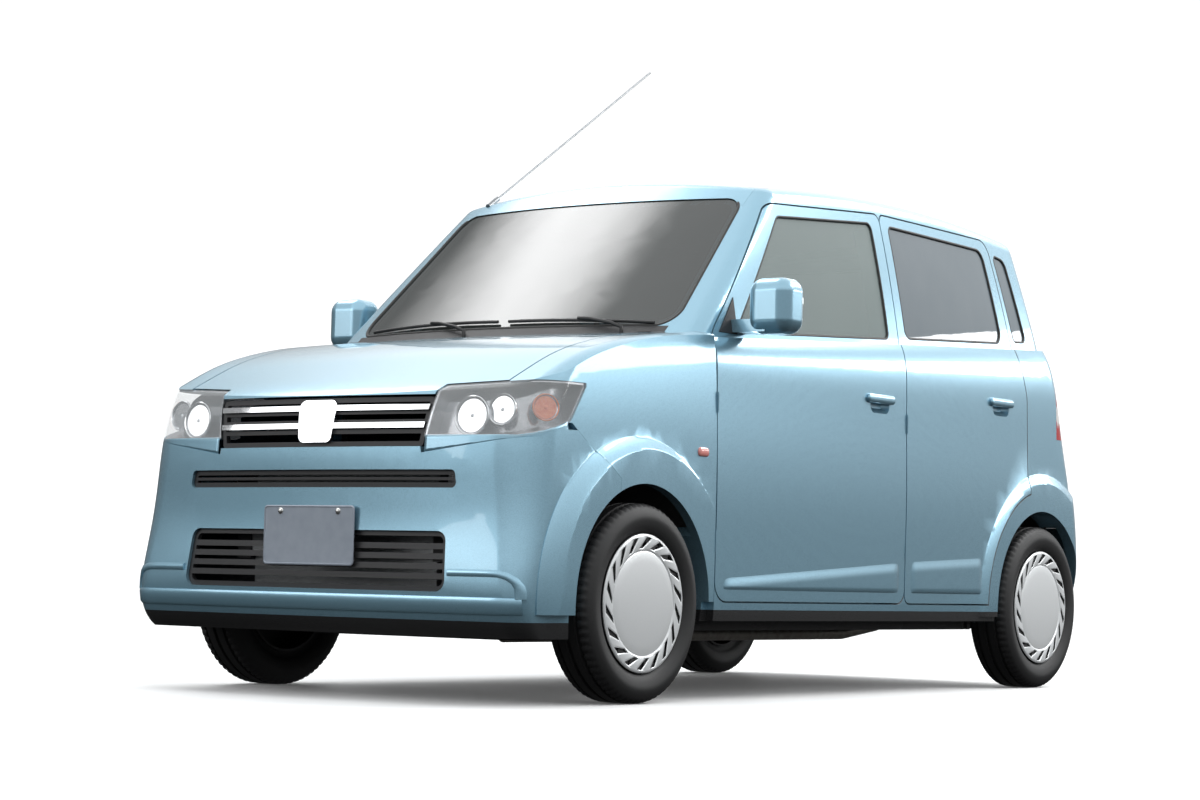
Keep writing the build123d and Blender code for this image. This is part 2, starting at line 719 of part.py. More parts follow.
# Wheels, each made on its axle line with the outer face toward +Y

def tyre(axle_x):
    half = TYRE_WIDTH / 2

    def at(radius, y):
        return (axle_x + radius, WHEEL_Y + y, WHEEL_Z)

    bead = 57.0
    edges = [
        Edge.make_line(at(RIM_RADIUS, -bead), at(RIM_RADIUS, bead)),
        Edge.make_line(at(RIM_RADIUS, bead), at(COVER_RADIUS + 1, bead + 2)),
        Edge.make_three_point_arc(at(COVER_RADIUS + 1, bead + 2), at(236, half), at(266, half - 11)),
        Edge.make_three_point_arc(at(266, half - 11), at(274.5, half - 19), at(TYRE_RADIUS - 1, half - 30)),
        Edge.make_three_point_arc(
            at(TYRE_RADIUS - 1, half - 30), at(TYRE_RADIUS, 0), at(TYRE_RADIUS - 1, 30 - half)),
        Edge.make_three_point_arc(at(TYRE_RADIUS - 1, 30 - half), at(274.5, 19 - half), at(266, 11 - half)),
        Edge.make_three_point_arc(at(266, 11 - half), at(236, -half), at(COVER_RADIUS + 1, -bead - 2)),
        Edge.make_line(at(COVER_RADIUS + 1, -bead - 2), at(RIM_RADIUS, -bead)),
    ]
    return Solid.revolve(Face(Wire(edges)), 360, Axis((axle_x, 0, WHEEL_Z), (0, 1, 0)))


STUB_RADIUS = 18.0
COVER_SLOTS = 16


def wheel(axle_x):
    """Steel rim and disc with a slotted cover clipped into its outer edge."""
    outer = RIM_RADIUS - SEAT_GAP

    def disc(radius, y0, y1):
        return wheel_cylinder(0, radius, y0, y1)

    def tube(r_out, r_in, y0, y1):
        return disc(r_out, y0, y1) - disc(r_in, y0 - 1, y1 + 1)

    rim = tube(outer, outer - 7, -62, 62) + tube(outer - 3, STUB_RADIUS + SEAT_GAP, 18, 24)
    rim = rim + tube(60, STUB_RADIUS + SEAT_GAP, 0, 24)
    cover = tube(COVER_RADIUS, 145, 60, 66) + disc(150, 57, 63) + tube(outer - 5, outer - 12, 30, 62)
    for i in range(COVER_SLOTS):
        slot = block(158, 180, 40, 90, WHEEL_Z - 9, WHEEL_Z + 9)
        cover = cover - slot.rotate(Axis((0, 0, WHEEL_Z), (0, 1, 0)), 360.0 / COVER_SLOTS * i)
    return (rim + cover).solids()[0].moved(Location((axle_x, WHEEL_Y, 0)))


# Front suspension: the kingpin line carries the knuckle between the arm and the strut
KINGPIN_LOW = Vector(FRONT_AXLE, 590, 190)
KINGPIN_HIGH = Vector(FRONT_AXLE, 500, 720)
KINGPIN = (KINGPIN_HIGH - KINGPIN_LOW).normalized()


def kingpin_at(z):
    return KINGPIN_LOW + KINGPIN * ((z - KINGPIN_LOW.Z) / KINGPIN.Z)


def kingpin_rod(z0, z1, radius):
    return rod(kingpin_at(z0), kingpin_at(z1), radius)


BOSS_LOW, BOSS_HIGH = 205.0, 430.0
PIN_RADIUS = 9.0


def knuckle():
    boss = kingpin_rod(BOSS_LOW, BOSS_HIGH, 17)
    stub = wheel_cylinder(FRONT_AXLE, STUB_RADIUS, kingpin_at(WHEEL_Z).Y, WHEEL_Y + 40)
    return (boss + stub - kingpin_rod(BOSS_LOW - 5, BOSS_LOW + 40, PIN_RADIUS + SEAT_GAP)
            - kingpin_rod(BOSS_HIGH - 40, BOSS_HIGH + 5, PIN_RADIUS + SEAT_GAP))


RAIL_INNER = 335.0      # inner face of the front rails
HOUSE_INNER = 405.0     # inner wall of the front wheelhouse
HOUSE_WALL = 20.0
HOUSE_RADIUS = ARCH_RADIUS + 12.0
STRUT_TOP = 617.0


def strut():
    pin = kingpin_rod(BOSS_HIGH - 36, BOSS_HIGH + 10, PIN_RADIUS)
    tube = kingpin_rod(BOSS_HIGH + SEAT_GAP + 2, STRUT_TOP - 10, 21)
    spring = kingpin_rod(576, STRUT_TOP - 6, 52)
    tower = wheel_cylinder(FRONT_AXLE, HOUSE_RADIUS - SEAT_GAP, 300, 700)
    top = kingpin_rod(STRUT_TOP - 10, STRUT_TOP + 40, 40) & tower
    return (pin + tube + spring + top).solids()[0]


def front_subframe():
    frame = block(FRONT_AXLE - 110, FRONT_AXLE + 120, -380, 380, 165, FLOOR_TOP)
    for side in (1, -1):
        y0, y1 = sorted((side * 370, side * 612))
        arm = block(FRONT_AXLE - 32, FRONT_AXLE + 32, y0, y1, 168, 190)
        post = block(FRONT_AXLE - 60, FRONT_AXLE + 60, *sorted((side * RAIL_INNER, side * 380)), FLOOR_TOP, 380)
        frame = frame + arm + post
    pin = kingpin_rod(180, BOSS_LOW + 36, PIN_RADIUS)
    seat = kingpin_rod(180, BOSS_LOW - SEAT_GAP - 2, 17)
    for piece in (pin, seat):
        frame = frame + piece + mirrored(piece)
    return frame.solids()[0]


def floor_pan():
    """Floor, bulkhead, raised rear floor, front rails and wheelhouses."""
    pan = block(-900, 790, -660, 660, FLOOR_LOW, FLOOR_TOP)
    pan = pan + block(780, 810, -660, 660, FLOOR_LOW, 1000)
    pan = pan + block(-930, -900, -660, 660, FLOOR_LOW, 430) + block(-1640, -900, -660, 660, 400, 430)
    pan = pan + block(-1640, -1610, -660, 660, 400, 556)
    hinges = []
    for side in (1, -1):
        pan = pan + block(790, 1560, *sorted((side * RAIL_INNER, side * 386)), 380, 480)
        house = wheel_cylinder(FRONT_AXLE, HOUSE_RADIUS + HOUSE_WALL, *sorted((side * 385, side * 740)))
        house = house - block(-FAR, FAR, -FAR, FAR, -FAR, FLOOR_LOW)
        pan = pan + house
        house = wheel_cylinder(REAR_AXLE, HOUSE_RADIUS + HOUSE_WALL, *sorted((side * 525, side * 740)))
        house = house - block(-FAR, FAR, -FAR, FAR, -FAR, FLOOR_LOW)
        pan = pan + house
        y0, y1 = sorted(side * y for y in BONNET_HINGE_Y)
        leaf_end = BONNET_HINGE_X + HINGE_LEAF / 2
        bracket = block(800, leaf_end, y0, y1, BONNET_BRACKET_Z, BONNET_BRACKET_Z + 15)
        leaf = block(BONNET_HINGE_X - HINGE_LEAF / 2, leaf_end, y0, y1, BONNET_BRACKET_Z, BONNET_HINGE_Z)
        pin = rod((BONNET_HINGE_X, y0, BONNET_HINGE_Z), (BONNET_HINGE_X, y1, BONNET_HINGE_Z), HINGE_PIN)
        hinges.extend([bracket, leaf, pin])
    for side in (1, -1):
        pan = pan - wheel_cylinder(FRONT_AXLE, HOUSE_RADIUS, *sorted((side * HOUSE_INNER, side * FAR)))
        pan = pan - wheel_cylinder(REAR_AXLE, HOUSE_RADIUS, *sorted((side * 545, side * FAR)))
        pan = pan - wheel_cylinder(REAR_AXLE, 60, *sorted((side * 500, side * 600)))
    ahead = pan & body(SKIN) & block(SHUT_FRONT + 95, FAR, -FAR, FAR, 0, FAR)
    behind = pan & body(SIDE_THICKNESS) & block(-FAR, SHUT_FRONT + 95, -FAR, FAR, 0, FAR)
    pan = ahead + behind
    for piece in hinges:
        pan = pan + piece
    return largest(pan)


def rear_axle():
    beam = wheel_cylinder(REAR_AXLE, 32, -515, 515)
    beam = beam + wheel_cylinder(REAR_AXLE, STUB_RADIUS, -WHEEL_Y - 40, WHEEL_Y + 40)
    for side in (1, -1):
        arm = block(REAR_AXLE, -930 - SEAT_GAP, *sorted((side * 430, side * 480)), WHEEL_Z - 25, WHEEL_Z + 25)
        spring = rod((REAR_AXLE, side * 455, WHEEL_Z), (REAR_AXLE, side * 455, 400 - SEAT_GAP), 48)
        beam = beam + arm + spring
    return beam.solids()[0]


def exhaust():
    route = FilletPolyline(
        (880, 60, 170), (-1080, 60, 170), (-1330, 60, 200), (-1480, 60, 262), (-1560, 60, 262), radius=120)
    pipe = sweep(Plane(route @ 0, z_dir=route % 0) * Circle(22), route)
    muffler = rod((-1545, -260, 262), (-1545, 200, 262), 68)
    tail = rod((-1545, -230, 232), (-1690, -230, 212), 18)
    hanger = rod((-1545, -150, 262), (-1545, -150, 400 - SEAT_GAP), 8)
    return (pipe + muffler + tail + hanger).solids()[0]


def engine():
    plain = block(880, 1340, -320, 320, FLOOR_TOP, 720)
    return plain.fillet(30, plain.edges().filter_by(Axis.Z))


def antenna():
    """Thin mast raked back from the right front corner of the roof."""
    base = Vector(330, -470, 1550)
    tip = Vector(-581, -470, 2139)
    mast = rod(base, tip, 3)
    foot = rod(base, (base + (tip - base).normalized() * 60), 9)
    return ((mast + foot) - body(0)).solids()[0]


def mirror():
    shell_block = block(525, 645, 738, 882, 1068, 1232)
    case = shell_block.fillet(42, shell_block.edges())
    stalk = block(560, 632, 640, 800, 1074, 1112)
    return largest(((case + stalk) - body(0)))


SEAT_Y = 330.0


def front_seat(y):
    base = block(-300, 150, y - 200, y + 200, FLOOR_TOP, 345)
    cushion = prism("side", [(-330, 340, 40), (-330, 500, 60), (200, 520, 60), (200, 360, 50)], y - 255, y + 255)
    back = prism("side", [(-290, 470, 40), (-440, 1010, 50), (-560, 1000, 50), (-450, 430, 60)], y - 245, y + 245)
    rest = prism("side", [(-452, 1000, 0), (-470, 1190, 40), (-560, 1190, 40), (-548, 1000, 0)], y - 120, y + 120)
    return (base + cushion + back + rest).solids()[0]


def rear_seat():
    cushion = prism("side", [(-1150, 432, 0), (-1150, 560, 40), (-700, 575, 60), (-700, 432, 40)], -515, 515)
    back = prism("side", [(-1060, 540, 40), (-1190, 1040, 50), (-1290, 1030, 50), (-1200, 500, 40)], -515, 515)
    legs = block(-890, -760, -480, 480, FLOOR_TOP, 440)
    return (cushion + back + legs).solids()[0]


COLUMN_TILT = 26.0
WHEEL_CENTRE = Vector(415, -SEAT_Y, 930)
COLUMN = Vector(-math.cos(math.radians(COLUMN_TILT)), 0, math.sin(math.radians(COLUMN_TILT)))
STEER_RADIUS = 178.0


def column_rod(start, end, radius):
    return rod((WHEEL_CENTRE + COLUMN * start), (WHEEL_CENTRE + COLUMN * end), radius)


def steering_wheel():
    plane = Plane(origin=WHEEL_CENTRE, z_dir=COLUMN)
    rim = Solid.make_torus(STEER_RADIUS, 14, plane)
    hub = column_rod(-30, 22, 62) - column_rod(-31, -5, 16 + SEAT_GAP)
    spokes = None
    for angle in (0, 180, 270):
        spoke = block(40, STEER_RADIUS, -16, 16, -8, 8).rotate(Axis.Z, angle)
        spoke = plane.from_local_coords(spoke)
        spokes = spoke if spokes is None else spokes + spoke
    return (rim + hub + spokes).solids()[0]


def dashboard():
    profile = [
        (780 - SEAT_GAP, 1000, 0), (640, 1012, 40), (520, 975, 70), (500, 820, 60), (600, 640, 60),
        (780 - SEAT_GAP, 600, 0)]
    dash = prism("side", profile, -640, 640) & body(SIDE_THICKNESS)
    return (dash + column_rod(-200, -34, 30) + column_rod(-34, -7, 16)).solids()[0]


def radiator():
    half = RAIL_INNER - SEAT_GAP
    return block(1500, 1540, -half, half, 270, 620) + block(1490, 1556, -half, half, 390, 470)


def build_parts():
    front_panel = {kind: door(kind) for kind in DOORS}
    pane = {kind: door_glass(kind) for kind in DOORS}
    side = body_side()
    left_mirror = mirror()
    parts = {
        "floor_pan": floor_pan(),
        "body_side_left": side,
        "body_side_right": mirrored(side),
        "roof_panel": roof_panel(),
        "front_fenders": group(*both_sides(fender())),
        "front_bumper": front_bumper(),
        "grilles": group(slatted(UPPER_GRILLE, 3, 12), slatted(LOWER_GRILLE, 4, 16), slatted(BUMPER_SLOT, 1, 8)),
        "grille_bars": group(grille_bars()),
        "headlamps": group(*both_sides(headlamp_bowl())),
        "headlamp_lenses": group(*both_sides(headlamp_lens())),
        "fixed_glass": group(windshield(), *both_sides(quarter_glass())),
        "cowl_panel": cowl_panel(),
        "rear_bumper": rear_bumper(),
        "tail_lamps": group(*both_sides(tail_lamp())),
        "seats": group(front_seat(SEAT_Y), front_seat(-SEAT_Y), rear_seat()),
        "dashboard": dashboard(),
        "antenna": antenna(),
        "engine": engine(),
        "radiator": radiator(),
        "front_subframe": front_subframe(),
        "front_struts": group(*both_sides(strut())),
        "rear_axle": rear_axle(),
        "exhaust": exhaust(),
        "bonnet": bonnet(),
        "tailgate": tailgate(),
        "tailgate_glass": tailgate_glass(),
        "mirror_left": left_mirror,
        "mirror_right": mirrored(left_mirror),
        "knuckle_left": knuckle(),
        "knuckle_right": mirrored(knuckle()),
        "steering_wheel": steering_wheel(),
    }
    for kind in DOORS:
        parts[f"door_{kind}_left"] = front_panel[kind]
        parts[f"door_{kind}_right"] = mirrored(front_panel[kind])
        parts[f"door_glass_{kind}_left"] = pane[kind]
        parts[f"door_glass_{kind}_right"] = mirrored(pane[kind])
    for kind, axle in (("front", FRONT_AXLE), ("rear", REAR_AXLE)):
        rubber, steel = tyre(axle), wheel(axle)
        parts[f"tyre_{kind}_left"] = rubber
        parts[f"tyre_{kind}_right"] = mirrored(rubber)
        parts[f"wheel_{kind}_left"] = steel
        parts[f"wheel_{kind}_right"] = mirrored(steel)
    return parts


os.makedirs("parts", exist_ok=True)
for name, shape in build_parts().items():
    export_step(shape, f"parts/{name}.step")
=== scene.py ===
import bmesh
import bpy
import math
from mathutils import Matrix, Vector
from mathutils.bvhtree import BVHTree


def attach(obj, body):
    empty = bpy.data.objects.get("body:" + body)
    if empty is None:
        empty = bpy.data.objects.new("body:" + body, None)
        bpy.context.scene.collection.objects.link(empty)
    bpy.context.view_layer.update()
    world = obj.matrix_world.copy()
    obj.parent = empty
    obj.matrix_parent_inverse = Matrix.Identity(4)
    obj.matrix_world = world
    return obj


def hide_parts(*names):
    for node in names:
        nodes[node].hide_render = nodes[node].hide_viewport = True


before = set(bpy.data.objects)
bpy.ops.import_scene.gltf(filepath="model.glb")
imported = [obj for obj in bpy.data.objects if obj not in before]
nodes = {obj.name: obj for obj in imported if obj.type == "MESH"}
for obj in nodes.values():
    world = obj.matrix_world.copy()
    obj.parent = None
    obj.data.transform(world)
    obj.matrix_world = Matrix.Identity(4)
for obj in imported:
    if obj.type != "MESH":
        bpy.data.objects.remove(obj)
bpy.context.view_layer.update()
scene = bpy.context.scene

# Camera: low and far to the front left of the car, tipped up a little and not quite level.
# Its place and lens were fitted to the wheels, sills and lamps in the photograph.
CAMERA_PLACE = (7.475, 5.1354, 0.3516)
FRAME_WIDTH, FOCAL_LENGTH = 1200, 2788.2        # in pixels of the photograph's frame
camera_yaw, camera_pitch, camera_roll = (math.radians(a) for a in (215.71, 3.612, 1.326))
ahead = Vector((
    math.cos(camera_pitch) * math.cos(camera_yaw),
    math.cos(camera_pitch) * math.sin(camera_yaw),
    math.sin(camera_pitch)))
level_right = ahead.cross(Vector((0, 0, 1))).normalized()
level_up = level_right.cross(ahead)
right = level_right * math.cos(camera_roll) + level_up * math.sin(camera_roll)
up = level_up * math.cos(camera_roll) - level_right * math.sin(camera_roll)
lens = bpy.data.cameras.new("camera")
lens.sensor_width = 36.0
lens.lens = FOCAL_LENGTH / FRAME_WIDTH * lens.sensor_width
lens.clip_end = 200.0
camera = bpy.data.objects.new("camera", lens)
camera.matrix_world = Matrix.Translation(CAMERA_PLACE) @ Matrix((right, up, -ahead)).transposed().to_4x4()
scene.collection.objects.link(camera)
scene.camera = camera

# Studio: a round pale painted floor that curves up into a wall well away from the car on every side.
# The room is bright above and dark below, with a bright patch that the windshield mirrors.
# Soft boxes stand over and beside the car.
FLOOR_RADIUS, WALL_BEND, WALL_TOP = 24.0, 8.0, 24.0
FLOOR_SEGMENTS = 72


def finish(name, light, dark, grain, roughness, metallic=0.0, bump=0.0, **sockets):
    """A surface whose colour, gloss and texture vary with a noise of that many grains to the metre."""
    material = bpy.data.materials.new(name)
    material.use_nodes = True
    tree = material.node_tree
    shader = tree.nodes["Principled BSDF"]
    shader.inputs["Metallic"].default_value = metallic
    for socket, value in sockets.items():
        shader.inputs[socket.replace("_", " ")].default_value = value
    place = tree.nodes.new("ShaderNodeTexCoord")
    noise = tree.nodes.new("ShaderNodeTexNoise")
    noise.inputs["Scale"].default_value = grain
    noise.inputs["Detail"].default_value = 5.0
    tree.links.new(place.outputs["Object"], noise.inputs["Vector"])
    colour = tree.nodes.new("ShaderNodeValToRGB")
    for stop, position, tone in zip(colour.color_ramp.elements, (0.3, 0.7), (dark, light)):
        stop.position = position
        stop.color = (*tone, 1)
    tree.links.new(noise.outputs["Fac"], colour.inputs["Fac"])
    tree.links.new(colour.outputs["Color"], shader.inputs["Base Color"])
    gloss = tree.nodes.new("ShaderNodeMapRange")
    gloss.inputs["To Min"].default_value = roughness * 0.8
    gloss.inputs["To Max"].default_value = roughness * 1.2
    tree.links.new(noise.outputs["Fac"], gloss.inputs["Value"])
    tree.links.new(gloss.outputs["Result"], shader.inputs["Roughness"])
    if bump:
        relief = tree.nodes.new("ShaderNodeBump")
        relief.inputs["Strength"].default_value = bump
        relief.inputs["Distance"].default_value = 0.001
        tree.links.new(noise.outputs["Fac"], relief.inputs["Height"])
        tree.links.new(relief.outputs["Normal"], shader.inputs["Normal"])
    return material


def mesh_piece(name, points, faces, material, sharp=40):
    """A smooth-shaded mesh with its normals outward, and sharp edges above that angle."""
    mesh = bpy.data.meshes.new(name)
    mesh.from_pydata(points, [], faces)
    mesh.validate()
    shaped = bmesh.new()
    shaped.from_mesh(mesh)
    bmesh.ops.recalc_face_normals(shaped, faces=shaped.faces)
    shaped.to_mesh(mesh)
    shaped.free()
    mesh.shade_smooth()
    mesh.set_sharp_from_angle(angle=math.radians(sharp))
    mesh.materials.append(material)
    piece = bpy.data.objects.new(name, mesh)
    scene.collection.objects.link(piece)
    return piece


def stacked(rings, count):
    """Faces between stacked rings of points, with that many points in each."""
    faces = []
    for k in range(rings - 1):
        for i in range(count):
            j = (i + 1) % count
            faces.append((k * count + i, k * count + j, (k + 1) * count + j, (k + 1) * count + i))
    return faces


floor_paint = finish(
    "floor_paint", (0.95, 0.95, 0.95), (0.92, 0.92, 0.92), 3.0, 0.5, Emission_Color=(1, 1, 1, 1))
# the wall stands upright and takes less light than the floor, so it glows a little
floor_tree = floor_paint.node_tree
rise = floor_tree.nodes.new("ShaderNodeSeparateXYZ")
glow = floor_tree.nodes.new("ShaderNodeMapRange")
glow.inputs["From Max"].default_value = 5.0
glow.inputs["To Min"].default_value = 0.06
glow.inputs["To Max"].default_value = 0.50
floor_tree.links.new(floor_tree.nodes["Texture Coordinate"].outputs["Object"], rise.inputs["Vector"])
floor_tree.links.new(rise.outputs["Z"], glow.inputs["Value"])
floor_tree.links.new(glow.outputs["Result"], floor_tree.nodes["Principled BSDF"].inputs["Emission Strength"])
# distance from the middle and height
sweep = [(0.5, 0.0), (8.0, 0.0), (FLOOR_RADIUS, 0.0)]
for degrees in range(5, 91, 5):
    a = math.radians(degrees)
    sweep.append((FLOOR_RADIUS + WALL_BEND * math.sin(a), WALL_BEND - WALL_BEND * math.cos(a)))
sweep.append((FLOOR_RADIUS + WALL_BEND, WALL_TOP))
floor_points = [
    (far * math.cos(2 * math.pi * i / FLOOR_SEGMENTS), far * math.sin(2 * math.pi * i / FLOOR_SEGMENTS), z)
    for far, z in sweep for i in range(FLOOR_SEGMENTS)]
floor_faces = stacked(len(sweep), FLOOR_SEGMENTS) + [tuple(range(FLOOR_SEGMENTS))]
floor = mesh_piece("floor", floor_points, floor_faces, floor_paint)
floor.visible_diffuse = floor.visible_glossy = floor.visible_shadow = False

# share of the way from straight down to straight up, brightness
ROOM_LIGHT = ((0.0, 0.04), (0.48, 0.08), (0.53, 0.42), (0.60, 0.85), (0.72, 1.55), (0.86, 1.35), (1.0, 1.15))
ROOM_TINT = (0.97, 0.99, 1.0)
# the bright patch: toward it, how near a direction is where it starts and is full, and its brightness
PATCH_TOWARD = Vector((-0.21, -0.62, 0.755)).normalized()
PATCH_EDGE, PATCH_FULL, PATCH_LIGHT = 0.955, 0.997, 5.0
# the far right of the room is dark: sideways share of a direction where the dark is full and where it ends
DARK_FULL, DARK_END, DARK_LIGHT = -0.74, -0.60, 0.30
world = bpy.data.worlds.new("studio")
world.use_nodes = True
room = world.node_tree
scene.world = world


def soft_step(source, start, end, low, high):
    """A smooth change from low to high as a source goes from start to end."""
    step = room.nodes.new("ShaderNodeMapRange")
    step.interpolation_type = "SMOOTHSTEP"
    for socket, value in (("From Min", start), ("From Max", end), ("To Min", low), ("To Max", high)):
        step.inputs[socket].default_value = value
    room.links.new(source, step.inputs["Value"])
    return step.outputs["Result"]


def vector_math(operation, first, second):
    """Two colours of the room added or multiplied."""
    node = room.nodes.new("ShaderNodeVectorMath")
    node.operation = operation
    for source, socket in zip((first, second), node.inputs):
        room.links.new(source, socket)
    return node.outputs["Vector"]


direction = room.nodes.new("ShaderNodeTexCoord").outputs["Generated"]
split = room.nodes.new("ShaderNodeSeparateXYZ")
room.links.new(direction, split.inputs["Vector"])
height = room.nodes.new("ShaderNodeMapRange")
height.inputs["From Min"].default_value = -1.0
room.links.new(split.outputs["Z"], height.inputs["Value"])
fade = room.nodes.new("ShaderNodeValToRGB")
while len(fade.color_ramp.elements) < len(ROOM_LIGHT):
    fade.color_ramp.elements.new(0.5)
for stop, (share, brightness) in zip(fade.color_ramp.elements, ROOM_LIGHT):
    stop.position = share
    stop.color = (*(brightness * tint for tint in ROOM_TINT), 1)
room.links.new(height.outputs["Result"], fade.inputs["Fac"])
nearness = room.nodes.new("ShaderNodeVectorMath")
nearness.operation = "DOT_PRODUCT"
nearness.inputs[1].default_value = PATCH_TOWARD
room.links.new(direction, nearness.inputs[0])
patch_light = soft_step(nearness.outputs["Value"], PATCH_EDGE, PATCH_FULL, 0.0, PATCH_LIGHT)
far_right = soft_step(split.outputs["Y"], DARK_FULL, DARK_END, DARK_LIGHT, 1.0)
lit = vector_math("ADD", fade.outputs["Color"], patch_light)
background = room.nodes["Background"]
room.links.new(vector_math("MULTIPLY", lit, far_right), background.inputs["Color"])
background.inputs["Strength"].default_value = 0.95
scene.view_settings.view_transform = "Standard"

# name: place, point it faces, width, height, power, whether it shows in glossy surfaces
SOFT_BOXES = {
    "overhead": ((-0.3, -0.2, 4.8), (-0.3, -0.2, 0), 5.0, 3.0, 110, False),
    "left": ((-4.4, 3.2, 4.9), (-0.3, 0.6, 0.95), 5.0, 1.8, 230, True),
    "front": ((6.6, -3.9, 2.7), (1.5, 0, 0.6), 4.4, 2.2, 75, True),
    "shoulder": ((-5.0, 4.1, 2.25), (-0.2, 0.72, 1.0), 5.0, 0.6, 58, True),
}
for name, (place, target, width, depth, power, mirrored) in SOFT_BOXES.items():
    light = bpy.data.lights.new(name, "AREA")
    light.shape = "RECTANGLE"
    light.size, light.size_y = width, depth
    light.energy = power
    lamp = bpy.data.objects.new(name, light)
    lamp.location = place
    lamp.rotation_euler = (Vector(target) - Vector(place)).to_track_quat("-Z", "Y").to_euler()
    lamp.visible_glossy = mirrored
    scene.collection.objects.link(lamp)

# Running gear: black-painted pressings below the floor, bare castings at the hubs, an alloy engine block and
# a steel exhaust, all bolted to the floor pan. Carpet covers the floor pan inside the cabin.
chassis_black = finish("chassis_black", (0.035, 0.035, 0.037), (0.02, 0.02, 0.021), 60.0, 0.55, 0.0, 0.3)
casting = finish("bare_casting", (0.22, 0.21, 0.20), (0.14, 0.13, 0.125), 250.0, 0.6, 0.6, 0.4)
alloy = finish("cast_alloy", (0.45, 0.46, 0.47), (0.36, 0.37, 0.38), 200.0, 0.5, 0.8, 0.3)
pipe_steel = finish("pipe_steel", (0.42, 0.40, 0.37), (0.26, 0.23, 0.20), 40.0, 0.45, 0.9, 0.15)
carpet = finish(
    "loop_carpet", (0.055, 0.055, 0.058), (0.022, 0.022, 0.024), 900.0, 0.95, 0.0, 0.9, Sheen_Weight=0.3)
SIDES = (("left", 1), ("right", -1))
WELD_GAP = 0.00002
PANEL_SHARP = math.radians(25)
CABIN_MIDDLE = Vector((-0.3, 0, 0.9))
CABIN_REAR, CABIN_FRONT, CABIN_FLOOR = -1.58, 0.76, 0.215


def dress(name, material, lining=None):
    """Weld a frame piece's facets, keep its sharp edges, and give it a finish.

    Faces toward the middle of the cabin take the lining.
    """
    piece = nodes[name]
    mesh = piece.data
    if "custom_normal" in mesh.attributes:
        mesh.attributes.remove(mesh.attributes["custom_normal"])
    mesh.shade_smooth()
    piece.modifiers.new("weld", "WELD").merge_threshold = WELD_GAP
    piece.modifiers.new("edges", "EDGE_SPLIT").split_angle = PANEL_SHARP
    piece.modifiers.new("level", "WEIGHTED_NORMAL").weight = 80
    mesh.materials.clear()
    mesh.materials.append(material)
    if lining is not None:
        mesh.materials.append(lining)
        for face in mesh.polygons:
            toward = (CABIN_MIDDLE - face.center).normalized()
            face.material_index = 1 if face.normal.dot(toward) > 0.35 else 0
    return piece


for name in ("front_subframe", "front_struts", "rear_axle"):
    dress(name, chassis_black)
pan = dress("floor_pan", chassis_black)
pan.data.materials.append(carpet)
for face in pan.data.polygons:
    inside = CABIN_REAR < face.center.x < CABIN_FRONT and face.center.z > CABIN_FLOOR
    face.material_index = 1 if inside and face.normal.z > -0.3 else 0
for side, sign in SIDES:
    dress(f"knuckle_{side}", casting)
for name in ("engine", "radiator"):
    dress(name, alloy)
dress("exhaust", pipe_steel)

# Painted panels: pressed steel in pale ice-blue metallic under clear lacquer, with trim on their inner faces.
# Bonnet and tailgate hang on hinges, the wings are bolted on, and the roof is welded to the body sides.
paint = finish(
    "ice_blue_metallic", (0.30, 0.51, 0.63), (0.215, 0.405, 0.525), 1400.0, 0.28, 0.62,
    Coat_Weight=1.0, Coat_Roughness=0.03)
cabin_trim = finish("grained_trim", (0.30, 0.30, 0.30), (0.22, 0.22, 0.225), 700.0, 0.6, 0.0, 0.25)
headlining = finish("headlining_cloth", (0.55, 0.545, 0.53), (0.46, 0.455, 0.44), 500.0, 0.95, 0.0, 0.5)
BARE_BLACK = (0.02, 0.02, 0.021, 1)
SILL_BLACK_TOP = 0.262


def black_below(name, level):
    """The body paint down to a height, and bare black plastic or sealer below it."""
    material = paint.copy()
    material.name = name
    tree = material.node_tree
    shader = tree.nodes["Principled BSDF"]
    heights = tree.nodes.new("ShaderNodeSeparateXYZ")
    under = tree.nodes.new("ShaderNodeMath")
    under.operation = "LESS_THAN"
    under.inputs[1].default_value = level
    tree.links.new(tree.nodes["Texture Coordinate"].outputs["Object"], heights.inputs["Vector"])
    tree.links.new(heights.outputs["Z"], under.inputs[0])
    tint = tree.nodes.new("ShaderNodeMix")
    tint.data_type = "RGBA"
    tint.inputs["B"].default_value = BARE_BLACK
    tree.links.new(under.outputs["Value"], tint.inputs["Factor"])
    tree.links.new(tree.nodes["Color Ramp"].outputs["Color"], tint.inputs["A"])
    tree.links.new(tint.outputs["Result"], shader.inputs["Base Color"])
    metal = tree.nodes.new("ShaderNodeMapRange")
    metal.inputs["To Min"].default_value = shader.inputs["Metallic"].default_value
    metal.inputs["To Max"].default_value = 0.0
    tree.links.new(under.outputs["Value"], metal.inputs["Value"])
    tree.links.new(metal.outputs["Result"], shader.inputs["Metallic"])
    return material


for name in ("front_fenders", "bonnet"):
    dress(name, paint)
side_paint = black_below("body_side_paint", SILL_BLACK_TOP)
for side, sign in SIDES:
    dress(f"body_side_{side}", side_paint, cabin_trim)
dress("roof_panel", paint, headlining)
dress("tailgate", paint, cabin_trim)

# Bumpers: thermoplastic mouldings painted like the body, with an unpainted black air dam below the front lip.
# They clip to the wings and to brackets behind. A lip and two corner ribs stand proud of the front one.
FRONT_DAM_TOP, REAR_DAM_TOP = 0.224, 0.270
LIP_HALF_LENGTH, LIP_Z, LIP_HALF_WIDTH, LIP_PROUD = 0.694, 0.266, 0.023, 0.007
LIP_STEPS = 60
RIB_HALF_WIDTH, RIB_PROUD = 0.010, 0.006
